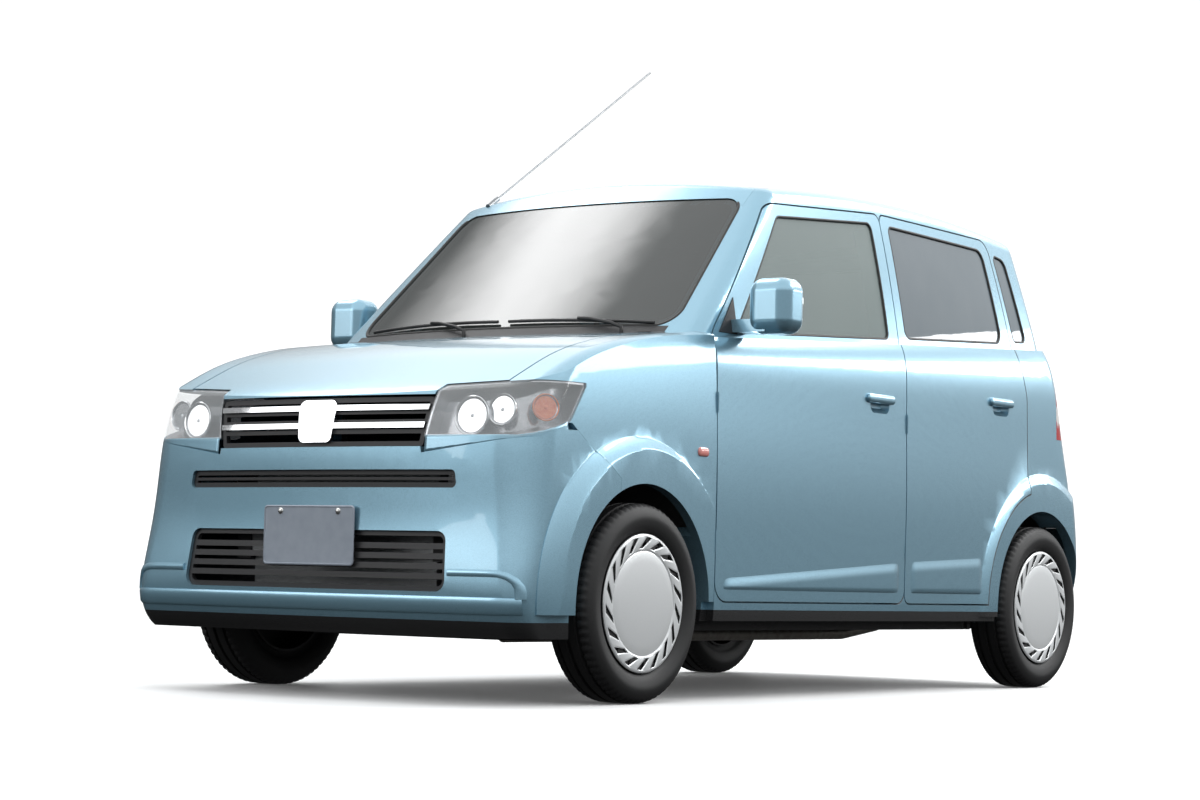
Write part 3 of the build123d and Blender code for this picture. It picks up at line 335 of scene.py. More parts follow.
# across and height of the left corner rib, from beside the intake round to the lip
RIB_PATH = (
    (0.482, 0.352), (0.52, 0.352), (0.56, 0.352), (0.60, 0.352), (0.635, 0.351), (0.662, 0.345),
    (0.681, 0.332), (0.690, 0.316), (0.692, 0.300), (0.692, 0.285))
dress("front_bumper", black_below("front_bumper_paint", FRONT_DAM_TOP))
dress("rear_bumper", black_below("rear_bumper_paint", REAR_DAM_TOP))
surface_trees = {}


def skin(name, start, direction):
    """Where a ray first meets a frame piece, and the normal there that faces the ray."""
    if name not in surface_trees:
        mesh = nodes[name].data
        surface_trees[name] = BVHTree.FromPolygons(
            [v.co for v in mesh.vertices], [tuple(p.vertices) for p in mesh.polygons])
    place, normal, _, _ = surface_trees[name].ray_cast(Vector(start), Vector(direction))
    if place is not None and normal.dot(Vector(direction)) > 0:
        normal = -normal
    return place, normal


def closed_stack(rings, count):
    """The faces of stacked rings with the first and last rings filled."""
    ends = [tuple(range(count)), tuple(range((rings - 1) * count, rings * count))]
    return stacked(rings, count) + ends


def fit(piece, body="body"):
    """Attach a new piece to the body that carries it."""
    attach(piece, body)


def bumper_bead(name, path, half, proud):
    """A raised moulding along a path of across and height places on the front of the bumper."""
    profile = (
        (-1.0, -0.003), (-0.92, 0.6 * proud), (-0.6, proud), (0.6, proud), (0.92, 0.6 * proud), (1.0, -0.003))
    points = []
    for i, (y, z) in enumerate(path):
        before, after = path[max(i - 1, 0)], path[min(i + 1, len(path) - 1)]
        run = Vector((after[0] - before[0], after[1] - before[1])).normalized()
        for share, lift in profile:
            at_y, at_z = y - run.y * share * half, z + run.x * share * half
            place, normal = skin("front_bumper", (2.5, at_y, at_z), (-1, 0, 0))
            points.append(place + normal * lift)
    fit(mesh_piece(name, points, closed_stack(len(path), len(profile)), paint))


lip_path = [(LIP_HALF_LENGTH * (2 * i / LIP_STEPS - 1), LIP_Z) for i in range(LIP_STEPS + 1)]
bumper_bead("bumper_lip", lip_path, LIP_HALF_WIDTH, LIP_PROUD)
for side, sign in SIDES:
    bumper_bead(f"bumper_corner_{side}", [(sign * y, z) for y, z in RIB_PATH], RIB_HALF_WIDTH, RIB_PROUD)

# Lamp corners: the body-colour upper edge of the bumper that wraps the nose and closes the wedge below each
# headlamp. It is part of the same moulding as the bumper, and it tucks in behind the edge of the lens.
CORNER_MIDDLE = (1.30, 0.30)    # along and across: the point that the corner curves about
BUMPER_TOP, LOWEST_EDGE, LAMP_LIMIT = 0.7165, 0.660, 0.820
EDGE_STEP, SKIN_REACH, TUCK = 0.002, 0.045, 0.002
CORNER_COLUMNS, CORNER_ROWS = 60, 6


def sheet_faces(columns, rows):
    """Faces of a grid whose points run up each column in turn."""
    return [
        (rows * i + j, rows * i + j + 1, rows * (i + 1) + j + 1, rows * (i + 1) + j)
        for i in range(columns - 1) for j in range(rows - 1)]


def walled(piece, thickness, offset=-1.0):
    """Give a sheet its thickness, inward by default."""
    wall = piece.modifiers.new("wall", "SOLIDIFY")
    wall.thickness = thickness
    wall.offset = offset
    return piece


for side, sign in SIDES:
    middle = Vector((CORNER_MIDDLE[0], sign * CORNER_MIDDLE[1], 0))
    points = []
    for i in range(CORNER_COLUMNS + 1):
        bearing = math.radians(2 + 88 * i / CORNER_COLUMNS)
        out = Vector((math.cos(bearing), sign * math.sin(bearing), 0))
        low, level = None, BUMPER_TOP
        while low is None and level > LOWEST_EDGE:
            low = skin("front_bumper", middle + out + Vector((0, 0, level)), -out)[0]
            level -= EDGE_STEP
        if low is None:
            continue
        high, level = None, low.z + 2 * EDGE_STEP
        while high is None and level < LAMP_LIMIT:
            for name in ("headlamp_lenses", "front_fenders"):
                place = skin(name, middle + out + Vector((0, 0, level)), -out)[0]
                if place is not None and (place - low).to_2d().length < SKIN_REACH:
                    high = place
            level += EDGE_STEP
        if high is None:
            continue
        high.z += 2 * EDGE_STEP
        points += [low.lerp(high, j / (CORNER_ROWS - 1)) - out * TUCK for j in range(CORNER_ROWS)]
    patch = mesh_piece(
        f"lamp_corner_{side}", points, sheet_faces(len(points) // CORNER_ROWS, CORNER_ROWS), paint)
    fit(walled(patch, 0.003, 0.0))

# Grilles: black plastic mouldings that clip into the bumper from behind.
# Two chrome-plated bars with a plain boss between them cross the upper one.
black_plastic = finish(
    "grained_black_plastic", (0.03, 0.03, 0.032), (0.018, 0.018, 0.02), 900.0, 0.5, 0.0, 0.2)
chrome = finish("bright_plating", (0.80, 0.81, 0.82), (0.74, 0.75, 0.77), 60.0, 0.08, 1.0)
dress("grilles", black_plastic)
dress("grille_bars", chrome)

# Headlamps: a plated bowl behind a clear lens at each front corner, screwed to the wing.
# Two round reflectors stand side by side, and a smaller one with an amber bulb and ring is at the outer end.
plating = finish("reflector_plating", (0.50, 0.51, 0.53), (0.36, 0.37, 0.39), 90.0, 0.12, 1.0)
clear_lens = finish("clear_lens", (0.9, 0.93, 0.95), (0.86, 0.9, 0.92), 20.0, 0.03, Alpha=0.16)
lamp_shade = finish("lamp_shade", (0.52, 0.53, 0.55), (0.34, 0.35, 0.37), 120.0, 0.22, 0.85)
amber = finish("amber_glass", (0.90, 0.30, 0.12), (0.75, 0.16, 0.06), 150.0, 0.1, Coat_Weight=0.5)
bulb_glass = finish("bulb_glass", (0.85, 0.87, 0.9), (0.75, 0.77, 0.8), 200.0, 0.05, 0.3)
dress("headlamps", lamp_shade)
dress("headlamp_lenses", clear_lens)
# start and direction of a ray to the lens, how far behind it the cup lies, radius, bulb and ring finishes
LAMP_CUPS = {
    "main": ((2.2, 0.505, 0.775), (-1, 0, 0), 0.016, 0.050, bulb_glass, chrome),
    "side": ((1.75, 0.592, 0.792), (-1, 0, 0), 0.018, 0.040, bulb_glass, chrome),
    "turn": ((1.80, 0.95, 0.800), (-0.72, -0.69, 0), 0.016, 0.034, amber, amber),
}
# share of the radius and height above the seat
CUP_PROFILE = (
    (0.16, -0.026), (0.45, -0.022), (0.75, -0.012), (0.93, -0.002), (1.0, 0.0), (1.03, -0.002),
    (0.80, -0.016), (0.48, -0.026), (0.16, -0.029))
RING_PROFILE = ((1.0, -0.003), (1.0, 0.001), (1.06, 0.002), (1.10, 0.0), (1.10, -0.004))
# radius and height above the seat
BULB_PROFILE = (
    (0.0075, -0.027), (0.0085, -0.022), (0.0085, -0.010), (0.007, -0.004), (0.004, -0.0015),
    (0.0005, -0.0008))


def seat_at(place, normal, upward=(0, 0, 1)):
    """A frame on a surface: across, up along it and outward."""
    out = Vector(normal).normalized()
    over = Vector(upward).cross(out).normalized()
    return Matrix.Translation(place) @ Matrix((over, out.cross(over), out)).transposed().to_4x4()


def lathe(name, profile, seat, material, segments=40):
    """A turned piece: radius and height pairs spun about the seat's outward line."""
    points = []
    for radius, lift in profile:
        for i in range(segments):
            a = 2 * math.pi * i / segments
            points.append(seat @ Vector((radius * math.cos(a), radius * math.sin(a), lift)))
    return mesh_piece(name, points, closed_stack(len(profile), segments), material)


for side, sign in SIDES:
    mirror = Vector((1, sign, 1))
    for cup_name, (start, ray, behind, radius, glass, rim) in LAMP_CUPS.items():
        place, normal = skin("headlamp_lenses", Vector(start) * mirror, Vector(ray) * mirror)
        facing = (normal - Vector(ray).normalized() * mirror).normalized()
        seat = seat_at(place - facing * behind, facing)
        cup_line = [(radius * share, lift) for share, lift in CUP_PROFILE]
        ring_line = [(radius * share, lift) for share, lift in RING_PROFILE]
        fit(lathe(f"lamp_cup_{cup_name}_{side}", cup_line, seat, plating))
        fit(lathe(f"lamp_bulb_{cup_name}_{side}", BULB_PROFILE, seat, glass, 20))
        fit(lathe(f"lamp_ring_{cup_name}_{side}", ring_line, seat, rim))

# Number plate: one blank sheet pressed from aluminium, painted, with its rim rolled up for stiffness.
# Two bolts hold it to the front bumper.
plate_paint = finish("plate_paint", (0.33, 0.37, 0.43), (0.30, 0.34, 0.40), 40.0, 0.4, 0.3)
bolt_zinc = finish("bolt_zinc", (0.62, 0.62, 0.6), (0.5, 0.5, 0.48), 300.0, 0.3, 1.0)
PLATE_X, PLATE_Z, BOLT_Y, BOLT_Z = 1.6915, 0.446, 0.105, 0.512
PLATE_LAYERS = (
    (0.0, 0.0), (0.0, 0.0020), (0.0015, 0.0032), (0.0040, 0.0032), (0.0058, 0.0014), (0.012, 0.0012))
BOLT_PROFILE = (
    (0.009, 0.0008), (0.009, 0.0016), (0.0065, 0.0022), (0.0062, 0.0048), (0.0050, 0.0056), (0.0005, 0.0056))


def round_rect(width, height, radius, steps=6):
    """Points round a rectangle with rounded corners."""
    points = []
    for cx, cy, start in ((1, 1, 0), (-1, 1, 90), (-1, -1, 180), (1, -1, 270)):
        for i in range(steps + 1):
            a = math.radians(start + 90 * i / steps)
            points.append((cx * (width / 2 - radius) + radius * math.cos(a),
                           cy * (height / 2 - radius) + radius * math.sin(a)))
    return points


def pressed(name, width, height, radius, layers, seat, material):
    """A closed form of rounded rectangles stacked outward from its seat; layers are inset and lift."""
    points = []
    for inset, lift in layers:
        for u, v in round_rect(width - 2 * inset, height - 2 * inset, max(radius - inset, 0.0004)):
            points.append(seat @ Vector((u, v, lift)))
    return mesh_piece(name, points, closed_stack(len(layers), len(points) // len(layers)), material)


plate_seat = seat_at((PLATE_X, 0, PLATE_Z), (1, 0, 0))
fit(pressed("number_plate", 0.330, 0.165, 0.012, PLATE_LAYERS, plate_seat, plate_paint))
for side, sign in SIDES:
    bolt_seat = seat_at((PLATE_X, sign * BOLT_Y, BOLT_Z), (1, 0, 0))
    fit(lathe(f"plate_bolt_{side}", BOLT_PROFILE, bolt_seat, bolt_zinc, 24))

# Side repeaters: small lamps with a moulded amber-pink lens, one in each wing behind the front wheel.
# Each clips into a hole in the wing from outside.
repeater_lens = finish("repeater_lens", (0.85, 0.36, 0.32), (0.7, 0.22, 0.2), 220.0, 0.12, Coat_Weight=0.6)
REPEATER_X, REPEATER_Z = 0.819, 0.713
REPEATER_LAYERS = ((0.0, -0.002), (0.0, 0.002), (0.002, 0.0045), (0.006, 0.0062), (0.010, 0.0068))
for side, sign in SIDES:
    seat = seat_at(*skin("front_fenders", (REPEATER_X, sign * 2, REPEATER_Z), (0, -sign, 0)))
    repeater = pressed(f"side_repeater_{side}", 0.052, 0.026, 0.011, REPEATER_LAYERS, seat, repeater_lens)
    fit(repeater)

# Doors: hinged steel pressings painted outside and lined inside, each with a painted pull handle over a pocket
# for the fingers. The handle is bolted through the skin, and the pocket is pressed into it.
# door end: middle of the handle along the car and its height
HANDLES = {"front": (-0.181, 0.927), "rear": (-1.015, 0.968)}
HANDLE_LAYERS = (
    (0.004, -0.004), (0.0, 0.003), (0.0, 0.0065), (0.0018, 0.0095), (0.006, 0.0115), (0.011, 0.0118))
HANDLE_RAISE, POCKET_DROP = 0.003, 0.016
POCKET_LAYERS = ((0.016, -0.022), (0.010, -0.0187), (0.004, -0.011), (0.0, -0.004), (-0.003, 0.004))


def settle(piece):
    """Put a piece's modifiers into its mesh and take them off."""
    graph = bpy.context.evaluated_depsgraph_get()
    shape = bpy.data.meshes.new_from_object(piece.evaluated_get(graph))
    piece.modifiers.clear()
    piece.data = shape


def cut_copy(name, cutter):
    """A copy of a frame piece with a cutter taken out of it."""
    copy = nodes[name].copy()
    copy.data = nodes[name].data.copy()
    copy.name = f"{name}_pressing"
    copy.parent = None
    scene.collection.objects.link(copy)
    copy.modifiers.clear()
    copy.modifiers.new("weld", "WELD").merge_threshold = WELD_GAP
    cut = copy.modifiers.new("cut", "BOOLEAN")
    cut.operation = "DIFFERENCE"
    cut.solver = "EXACT"
    cut.object = cutter
    settle(copy)
    bpy.data.objects.remove(cutter)
    return copy


for end, (handle_x, handle_z) in HANDLES.items():
    for side, sign in SIDES:
        name = f"door_{end}_{side}"
        dress(name, paint, cabin_trim)
        seat = seat_at(*skin(name, (handle_x, sign * 2, handle_z), (0, -sign, 0)))
        pocket_seat = seat @ Matrix.Translation((0, -POCKET_DROP, 0))
        cutter = pressed("pocket_cutter", 0.118, 0.050, 0.024, POCKET_LAYERS, pocket_seat, paint)
        door = cut_copy(name, cutter)
        door.data.shade_smooth()
        door.data.set_sharp_from_angle(angle=PANEL_SHARP)
        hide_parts(name)
        fit(door, name)
        handle_seat = seat @ Matrix.Translation((0, HANDLE_RAISE, 0))
        handle = pressed(f"handle_{end}_{side}", 0.168, 0.028, 0.0135, HANDLE_LAYERS, handle_seat, paint)
        fit(handle, name)

# Door steps: the lower part of each door skin stands a little proud of the rest, below a soft crease that
# rises rearward. It is pressed into the same painted sheet as the door.
STEP_PROUD, STEP_SINK = 0.0045, 0.0006
STEP_CREASE, STEP_FOOT, STEP_FADE = 0.040, 0.012, 0.030     # how far it takes to rise at top, foot and ends
STEP_COLUMNS, STEP_ROWS = 61, 19
# door end: front and rear of the step, height of its foot, height of its crease in front and behind
STEPS = {"front": (0.705, -0.318, 0.318, 0.362, 0.424), "rear": (-0.388, -0.885, 0.318, 0.428, 0.450)}


def ease(share):
    """A smooth rise from 0 to 1."""
    share = min(max(share, 0.0), 1.0)
    return share * share * (3 - 2 * share)


for end, (front_x, rear_x, foot_z, front_z, rear_z) in STEPS.items():
    for side, sign in SIDES:
        name = f"door_{end}_{side}"
        points = []
        for i in range(STEP_COLUMNS):
            along = i / (STEP_COLUMNS - 1)
            x = front_x + (rear_x - front_x) * along
            crease = front_z + (rear_z - front_z) * along
            for j in range(STEP_ROWS):
                z = foot_z + (crease - foot_z) * j / (STEP_ROWS - 1)
                proud = ease((crease - z) / STEP_CREASE) * ease((z - foot_z) / STEP_FOOT)
                proud *= ease(min(front_x - x, x - rear_x) / STEP_FADE)
                place, normal = skin(name, (x, sign * 2, z), (0, -sign, 0))
                points.append(place + normal * (STEP_PROUD * proud - STEP_SINK))
        step = mesh_piece(f"door_step_{end}_{side}", points, sheet_faces(STEP_COLUMNS, STEP_ROWS), paint)
        fit(walled(step, 0.001), name)

# Glass: a laminated windshield, front door panes with a green cast, and grey privacy glass behind them.
# Each pane is bonded or slides in a black rubber seal that shows as a thin line round it.
clear_glass = finish(
    "clear_glass", (0.32, 0.385, 0.375), (0.29, 0.355, 0.345), 4.0, 0.02, IOR=1.9, Alpha=0.55)
# the windshield is near black and mostly opaque: painted shade for the dim cabin seen through it
windshield_painted_shade_glass = finish(
    "windshield_painted_shade_glass", (0.022, 0.026, 0.025), (0.018, 0.022, 0.021), 4.0, 0.02, IOR=1.9, Alpha=0.88)
privacy_glass = finish(
    "privacy_glass", (0.16, 0.195, 0.22), (0.14, 0.175, 0.20), 4.0, 0.02, IOR=1.9, Alpha=0.88)
rubber = finish("seal_rubber", (0.022, 0.022, 0.022), (0.014, 0.014, 0.014), 400.0, 0.55, 0.0, 0.1)
SEAL_RADIUS = 0.006
QUARTER_FRONT = -1.0        # the quarter panes of the fixed glass lie behind this


def rim_loops(name, facing):
    """Closed loops of points round the faces of a pane that look outward."""
    pane = bmesh.new()
    pane.from_mesh(nodes[name].data)
    bmesh.ops.remove_doubles(pane, verts=pane.verts, dist=WELD_GAP)
    outer = {face for face in pane.faces if face.normal.dot(facing(face.calc_center_median())) > 0.5}
    rim = [edge for edge in pane.edges if sum(face in outer for face in edge.link_faces) == 1]
    neighbours = {}
    for edge in rim:
        for a, b in (edge.verts, reversed(edge.verts)):
            neighbours.setdefault(a, []).append(b)
    loops, used = [], set()
    for start in neighbours:
        loop, here = [], start
        while here is not None and here not in used:
            used.add(here)
            loop.append(here.co.copy())
            here = next((n for n in neighbours[here] if n not in used), None)
        if len(loop) > 8:
            loops.append(loop)
    pane.free()
    return loops


def tube(name, paths, radius, material, closed=True):
    """Round rods or rings along paths of points."""
    curve = bpy.data.curves.new(name, "CURVE")
    curve.dimensions = "3D"
    curve.bevel_depth = radius
    curve.bevel_resolution = 2
    curve.use_fill_caps = True
    for path in paths:
        spline = curve.splines.new("POLY")
        spline.points.add(len(path) - 1)
        for point, place in zip(spline.points, path):
            point.co = (*place, 1)
        spline.use_cyclic_u = closed
    curve.materials.append(material)
    piece = bpy.data.objects.new(name, curve)
    scene.collection.objects.link(piece)
    return piece


def sideways(centre):
    """Outward on a side of the car."""
    return Vector((0, 1 if centre.y > 0 else -1, 0))


def rearward(centre):
    """Outward at the tailgate."""
    return Vector((-1, 0, 0))


def fixed_outward(centre):
    """Outward on the quarter panes and on the windshield."""
    return sideways(centre) if centre.x < QUARTER_FRONT else Vector((0.7, 0, 0.7))


# pane: finish, which way it looks, body that carries it
PANES = {
    "fixed_glass": (windshield_painted_shade_glass, fixed_outward, "body"),
    "tailgate_glass": (privacy_glass, rearward, "tailgate"),
}
for side, sign in SIDES:
    PANES[f"door_glass_front_{side}"] = (clear_glass, sideways, f"door_front_{side}")
    PANES[f"door_glass_rear_{side}"] = (privacy_glass, sideways, f"door_rear_{side}")
for name, (material, facing, body) in PANES.items():
    dress(name, material)
    fit(tube(f"seal_{name}", rim_loops(name, facing), SEAL_RADIUS, rubber), body)
fixed_panes = nodes["fixed_glass"].data
fixed_panes.materials.append(privacy_glass)
for face in fixed_panes.polygons:
    face.material_index = 1 if face.center.x < QUARTER_FRONT else 0

# Cowl and wipers: a black grained moulding below the windshield, with two sprung steel arms that lay their
# rubber blades along the foot of the glass. The arms are bolted to spindles that come up through the cowl.
wiper_black = finish("wiper_black", (0.02, 0.02, 0.021), (0.012, 0.012, 0.013), 500.0, 0.45, 0.0, 0.15)
BLADE_STEPS, BLADE_LIFT, BLADE_RADIUS, ARM_RADIUS = 14, 0.008, 0.005, 0.0055
SPINDLE_X, COWL_BOW = 0.932, 3.6        # spindle place on the centre line, and the cowl's bow behind it
# spindle across, blade: across and height of its two ends
WIPERS = {
    "driver": (-0.08, (-0.52, 1.118), (0.02, 1.102)),
    "passenger": (0.46, (0.06, 1.102), (0.54, 1.114)),
}
dress("cowl_panel", black_plastic)
for name, (spindle_y, start, end) in WIPERS.items():
    blade_line = []
    for i in range(BLADE_STEPS + 1):
        y, z = Vector(start).lerp(Vector(end), i / BLADE_STEPS)
        place, normal = skin("fixed_glass", (2.0, y, z + 0.4), (-0.94, 0, -0.34))
        blade_line.append(place + normal * BLADE_LIFT)
    spindle, _ = skin("cowl_panel", (SPINDLE_X - spindle_y ** 2 / COWL_BOW, spindle_y, 1.4), (0, 0, -1))
    hook = blade_line[BLADE_STEPS // 2]
    arm_line = [
        spindle + Vector((0, 0, -0.002)), spindle + Vector((0, 0, 0.016)),
        spindle.lerp(hook, 0.25) + Vector((0, 0, 0.020)), spindle.lerp(hook, 0.75) + Vector((0, 0, 0.014)),
        hook + Vector((0.002, 0, 0.006))]
    fit(tube(f"wiper_blade_{name}", [blade_line], BLADE_RADIUS, wiper_black, False))
    fit(tube(f"wiper_arm_{name}", [arm_line], ARM_RADIUS, wiper_black, False))

# Antenna: a thin sprung steel rod that leans back from a small foot at the front of the roof.
# The rod is screwed into the foot, which is bolted through the roof panel.
rod_steel = finish("rod_steel", (0.32, 0.33, 0.34), (0.22, 0.23, 0.24), 80.0, 0.35, 0.9)
dress("antenna", rod_steel)

# Mirrors: body-colour plastic cases on the front doors with a silvered glass in the rear face of each.
# A black corner plate, screwed to the door, fills the front of the window behind each mirror foot.
mirror_silver = finish("mirror_silver", (0.82, 0.84, 0.86), (0.78, 0.80, 0.82), 8.0, 0.03, 1.0)
MIRROR_X, MIRROR_Y, MIRROR_Z = 0.5252, 0.810, 1.150
MIRROR_LAYERS = ((0.0, -0.002), (0.0, 0.0004), (0.002, 0.0012), (0.012, 0.0015))
CORNER_PLATE = ((0.700, 1.070), (0.606, 1.070), (0.606, 1.180))     # its corners, along and height
PLATE_STEPS, PLATE_PROUD, PLATE_SINK = 10, 0.003, 0.004
for side, sign in SIDES:
    body = f"door_front_{side}"
    dress(f"mirror_{side}", paint)
    seat = seat_at((MIRROR_X, sign * MIRROR_Y, MIRROR_Z), (-1, 0, 0))
    glass = pressed(f"mirror_glass_{side}", 0.108, 0.116, 0.030, MIRROR_LAYERS, seat, mirror_silver)
    fit(glass, body)
    outer, inner = [], []
    for a in range(3):
        for i in range(PLATE_STEPS):
            x, z = Vector(CORNER_PLATE[a]).lerp(Vector(CORNER_PLATE[(a + 1) % 3]), i / PLATE_STEPS)
            place, normal = skin(body, (x, sign * 2, z), (0, -sign, 0))
            if place is not None:
                outer.append(place + normal * PLATE_PROUD)
                inner.append(place - normal * PLATE_SINK)
    corner_plate = mesh_piece(
        f"corner_plate_{side}", outer + inner, closed_stack(2, len(outer)), black_plastic)
    fit(corner_plate, body)

# Tail lamps: red moulded lenses at the rear corners with a clear band for the reversing and turn lamps.
# They are screwed to the quarter panel.
red_lens = finish(
    "red_lens", (0.50, 0.02, 0.025), (0.34, 0.01, 0.015), 180.0, 0.12, 0.0, 0.1, Coat_Weight=0.6)
band_lens = finish(
    "band_lens", (0.80, 0.78, 0.76), (0.62, 0.60, 0.58), 260.0, 0.15, 0.0, 0.2, Coat_Weight=0.6)
BAND_LOW, BAND_HIGH = 0.925, 0.985
tail = dress("tail_lamps", red_lens)
tail.data.materials.append(band_lens)
for face in tail.data.polygons:
    face.material_index = 1 if BAND_LOW < face.center.z < BAND_HIGH else 0

# Wheels: steel rims, painted black and bolted to the hubs, each behind a silver-lacquered plastic cover.
# The cover has a smooth middle and a ring of slanted slots, and it clips into the rim.
silver = finish("silver_lacquer", (0.82, 0.84, 0.85), (0.74, 0.76, 0.77), 1200.0, 0.33, 0.30, Coat_Weight=0.4)
rim_black = finish("rim_black", (0.02, 0.02, 0.021), (0.012, 0.012, 0.013), 200.0, 0.5, 0.0, 0.2)
AXLES = {"front": 1.1075, "rear": -1.3125}
HUB_Y, HUB_Z = 0.655, 0.2785
# radius and how far out from the middle of the tyre
COVER_PROFILE = (
    (0.004, 0.0735), (0.040, 0.0733), (0.080, 0.0722), (0.118, 0.0702), (0.140, 0.0685), (0.1455, 0.0672),
    (0.149, 0.0690), (0.153, 0.0700), (0.184, 0.0706), (0.188, 0.0700), (0.1915, 0.0685), (0.1935, 0.0668))
COVER_WALL = 0.0022
SLOTS, SLOT_CELLS, OPEN_CELLS = 18, 8, (2, 3, 4)
SLOT_ROW = 7                        # the slots are cut between this ring of the profile and the next
SLOT_SLANT = math.radians(7.0)      # how far each end of a slot is turned from its middle


def wheel_cover(name, axle, sign):
    """A thin cover turned about the axle, with slots through one ring of it."""
    segments = SLOTS * SLOT_CELLS
    points = []
    for row, (radius, out) in enumerate(COVER_PROFILE):
        turn = {SLOT_ROW: -SLOT_SLANT, SLOT_ROW + 1: SLOT_SLANT}.get(row, 0.0)
        for i in range(segments):
            a = 2 * math.pi * i / segments + sign * turn
            points.append((axle + radius * math.cos(a), sign * (HUB_Y + out), HUB_Z + radius * math.sin(a)))
    faces = [tuple(range(segments))]
    for n, face in enumerate(stacked(len(COVER_PROFILE), segments)):
        row, cell = n // segments, n % SLOT_CELLS
        if row != SLOT_ROW or cell not in OPEN_CELLS:
            faces.append(face)
    return walled(mesh_piece(name, points, faces, silver), COVER_WALL)


for end, axle in AXLES.items():
    for side, sign in SIDES:
        name = f"wheel_{end}_{side}"
        dress(name, rim_black)
        fit(wheel_cover(f"wheel_cover_{end}_{side}", axle, sign), name)

# Tyres: moulded black rubber with three grooves round the tread and slots across its shoulders.
# Their beads seat on the rims.
tyre_rubber = finish("tyre_rubber", (0.016, 0.016, 0.017), (0.008, 0.008, 0.0085), 300.0, 0.6, 0.0, 0.2)
# radius and how far out from the middle, on one half of the section: side wall, shoulder, then tread
TYRE_SIDE = (
    (0.1785, 0.0570), (0.1950, 0.0590), (0.1990, 0.0640), (0.2060, 0.0690), (0.2180, 0.0735), (0.2300, 0.0765),
    (0.2360, 0.0772), (0.2420, 0.0768), (0.2520, 0.0735), (0.2600, 0.0695), (0.2660, 0.0660))
SHOULDER = ((0.2715, 0.0615), (0.2752, 0.0565), (0.2772, 0.0490))
TREAD = (
    (0.2775, 0.0400), (0.2700, 0.0390), (0.2700, 0.0320), (0.2780, 0.0310), (0.2783, 0.0060), (0.2705, 0.0050))
BLOCKS, BLOCK_CELLS, SLOT_DEPTH = 72, 3, 0.0045


def tyre(name, axle, sign):
    """A closed section turned about the axle, with slots across the shoulders."""
    half = TYRE_SIDE + SHOULDER + TREAD
    section = half + tuple((radius, -out) for radius, out in reversed(half))
    rows, segments = len(section), BLOCKS * BLOCK_CELLS
    slotted = set(range(len(TYRE_SIDE), len(TYRE_SIDE) + len(SHOULDER) + 1))
    slotted |= {rows - 1 - k for k in slotted}
    points, faces = [], []
    for k, (radius, out) in enumerate(section):
        for i in range(segments):
            reach = radius - SLOT_DEPTH if k in slotted and i % BLOCK_CELLS == 0 else radius
            a = 2 * math.pi * i / segments
            points.append((axle + reach * math.cos(a), sign * (HUB_Y + out), HUB_Z + reach * math.sin(a)))
    for k in range(rows):
        for i in range(segments):
            j, n = (i + 1) % segments, (k + 1) % rows
            faces.append((k * segments + i, k * segments + j, n * segments + j, n * segments + i))
    return mesh_piece(name, points, faces, tyre_rubber, 50)


for end, axle in AXLES.items():
    for side, sign in SIDES:
        name = f"tyre_{end}_{side}"
        ring = tyre(f"{name}_treaded", axle, sign)
        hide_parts(name)
        fit(ring, f"wheel_{end}_{side}")

# Dashboard: one grained moulding across the car that hangs on a beam behind it, with a hooded pair of dials,
# a blank centre panel with knobs, and four air vents. The steering wheel is foam moulded on a steel ring.
dash_plastic = finish("dash_plastic", (0.16, 0.16, 0.165), (0.11, 0.11, 0.115), 800.0, 0.55, 0.0, 0.25)
panel_black = finish("panel_black", (0.03, 0.03, 0.032), (0.02, 0.02, 0.022), 300.0, 0.3, 0.0, 0.1)
dial_face = finish("dial_face", (0.75, 0.75, 0.72), (0.68, 0.68, 0.65), 50.0, 0.5)
PANEL_TILT, VENT_TILT = (-1, 0, 0.12), (-1, 0, 0.3)
PANEL_Z, KNOB_Z, KNOB_PITCH = 0.850, 0.800, 0.055
VENT_Z, VENT_PLACES, VENT_BARS, BAR_PITCH = 0.910, (-0.575, -0.135, 0.135, 0.575), 4, 0.013
DIAL_OFFSETS = (-0.066, 0.066)
DASH_LAYERS = ((0.0, -0.012), (0.0, 0.004), (0.002, 0.007), (0.006, 0.008))
KNOB_PROFILE = ((0.019, 0.004), (0.0185, 0.020), (0.017, 0.0225), (0.004, 0.0225))
BAR_LAYERS = ((0.0, -0.003), (0.0, 0.0015), (0.0008, 0.0022))
HOOD_LAYERS = ((0.006, -0.100), (0.0, -0.030), (0.0, 0.012), (0.006, 0.014), (0.010, 0.006), (0.012, -0.008))
DIAL_PROFILE = ((0.044, -0.004), (0.044, 0.001), (0.041, 0.002), (0.040, 0.0005), (0.002, 0.0005))
NEEDLE_LAYERS = ((0.0, 0.0), (0.0, 0.0006), (0.0004, 0.0010))
for name in ("dashboard", "steering_wheel"):
    dress(name, dash_plastic)


def on_dash(y, z, tilt):
    """A seat on the face of the dashboard that looks back at the seats."""
    place, _ = skin("dashboard", (-0.2, y, z), (1, 0, 0))
    return seat_at(place, tilt)


panel_seat = on_dash(0.0, PANEL_Z, PANEL_TILT)
fit(pressed("centre_panel", 0.190, 0.200, 0.018, DASH_LAYERS, panel_seat, panel_black))
for i in range(3):
    knob_seat = on_dash(KNOB_PITCH * (i - 1), KNOB_Z, PANEL_TILT)
    fit(lathe(f"centre_knob_{i}", KNOB_PROFILE, knob_seat, dash_plastic, 28))
for i, y in enumerate(VENT_PLACES):
    seat = on_dash(y, VENT_Z, VENT_TILT)
    fit(pressed(f"vent_frame_{i}", 0.088, 0.062, 0.014, DASH_LAYERS, seat, panel_black))
    for k in range(VENT_BARS):
        bar_seat = seat @ Matrix.Translation((0, BAR_PITCH * (k - (VENT_BARS - 1) / 2), 0.008))
        bar = pressed(f"vent_bar_{i}_{k}", 0.074, 0.004, 0.0018, BAR_LAYERS, bar_seat, dash_plastic)
        fit(bar)
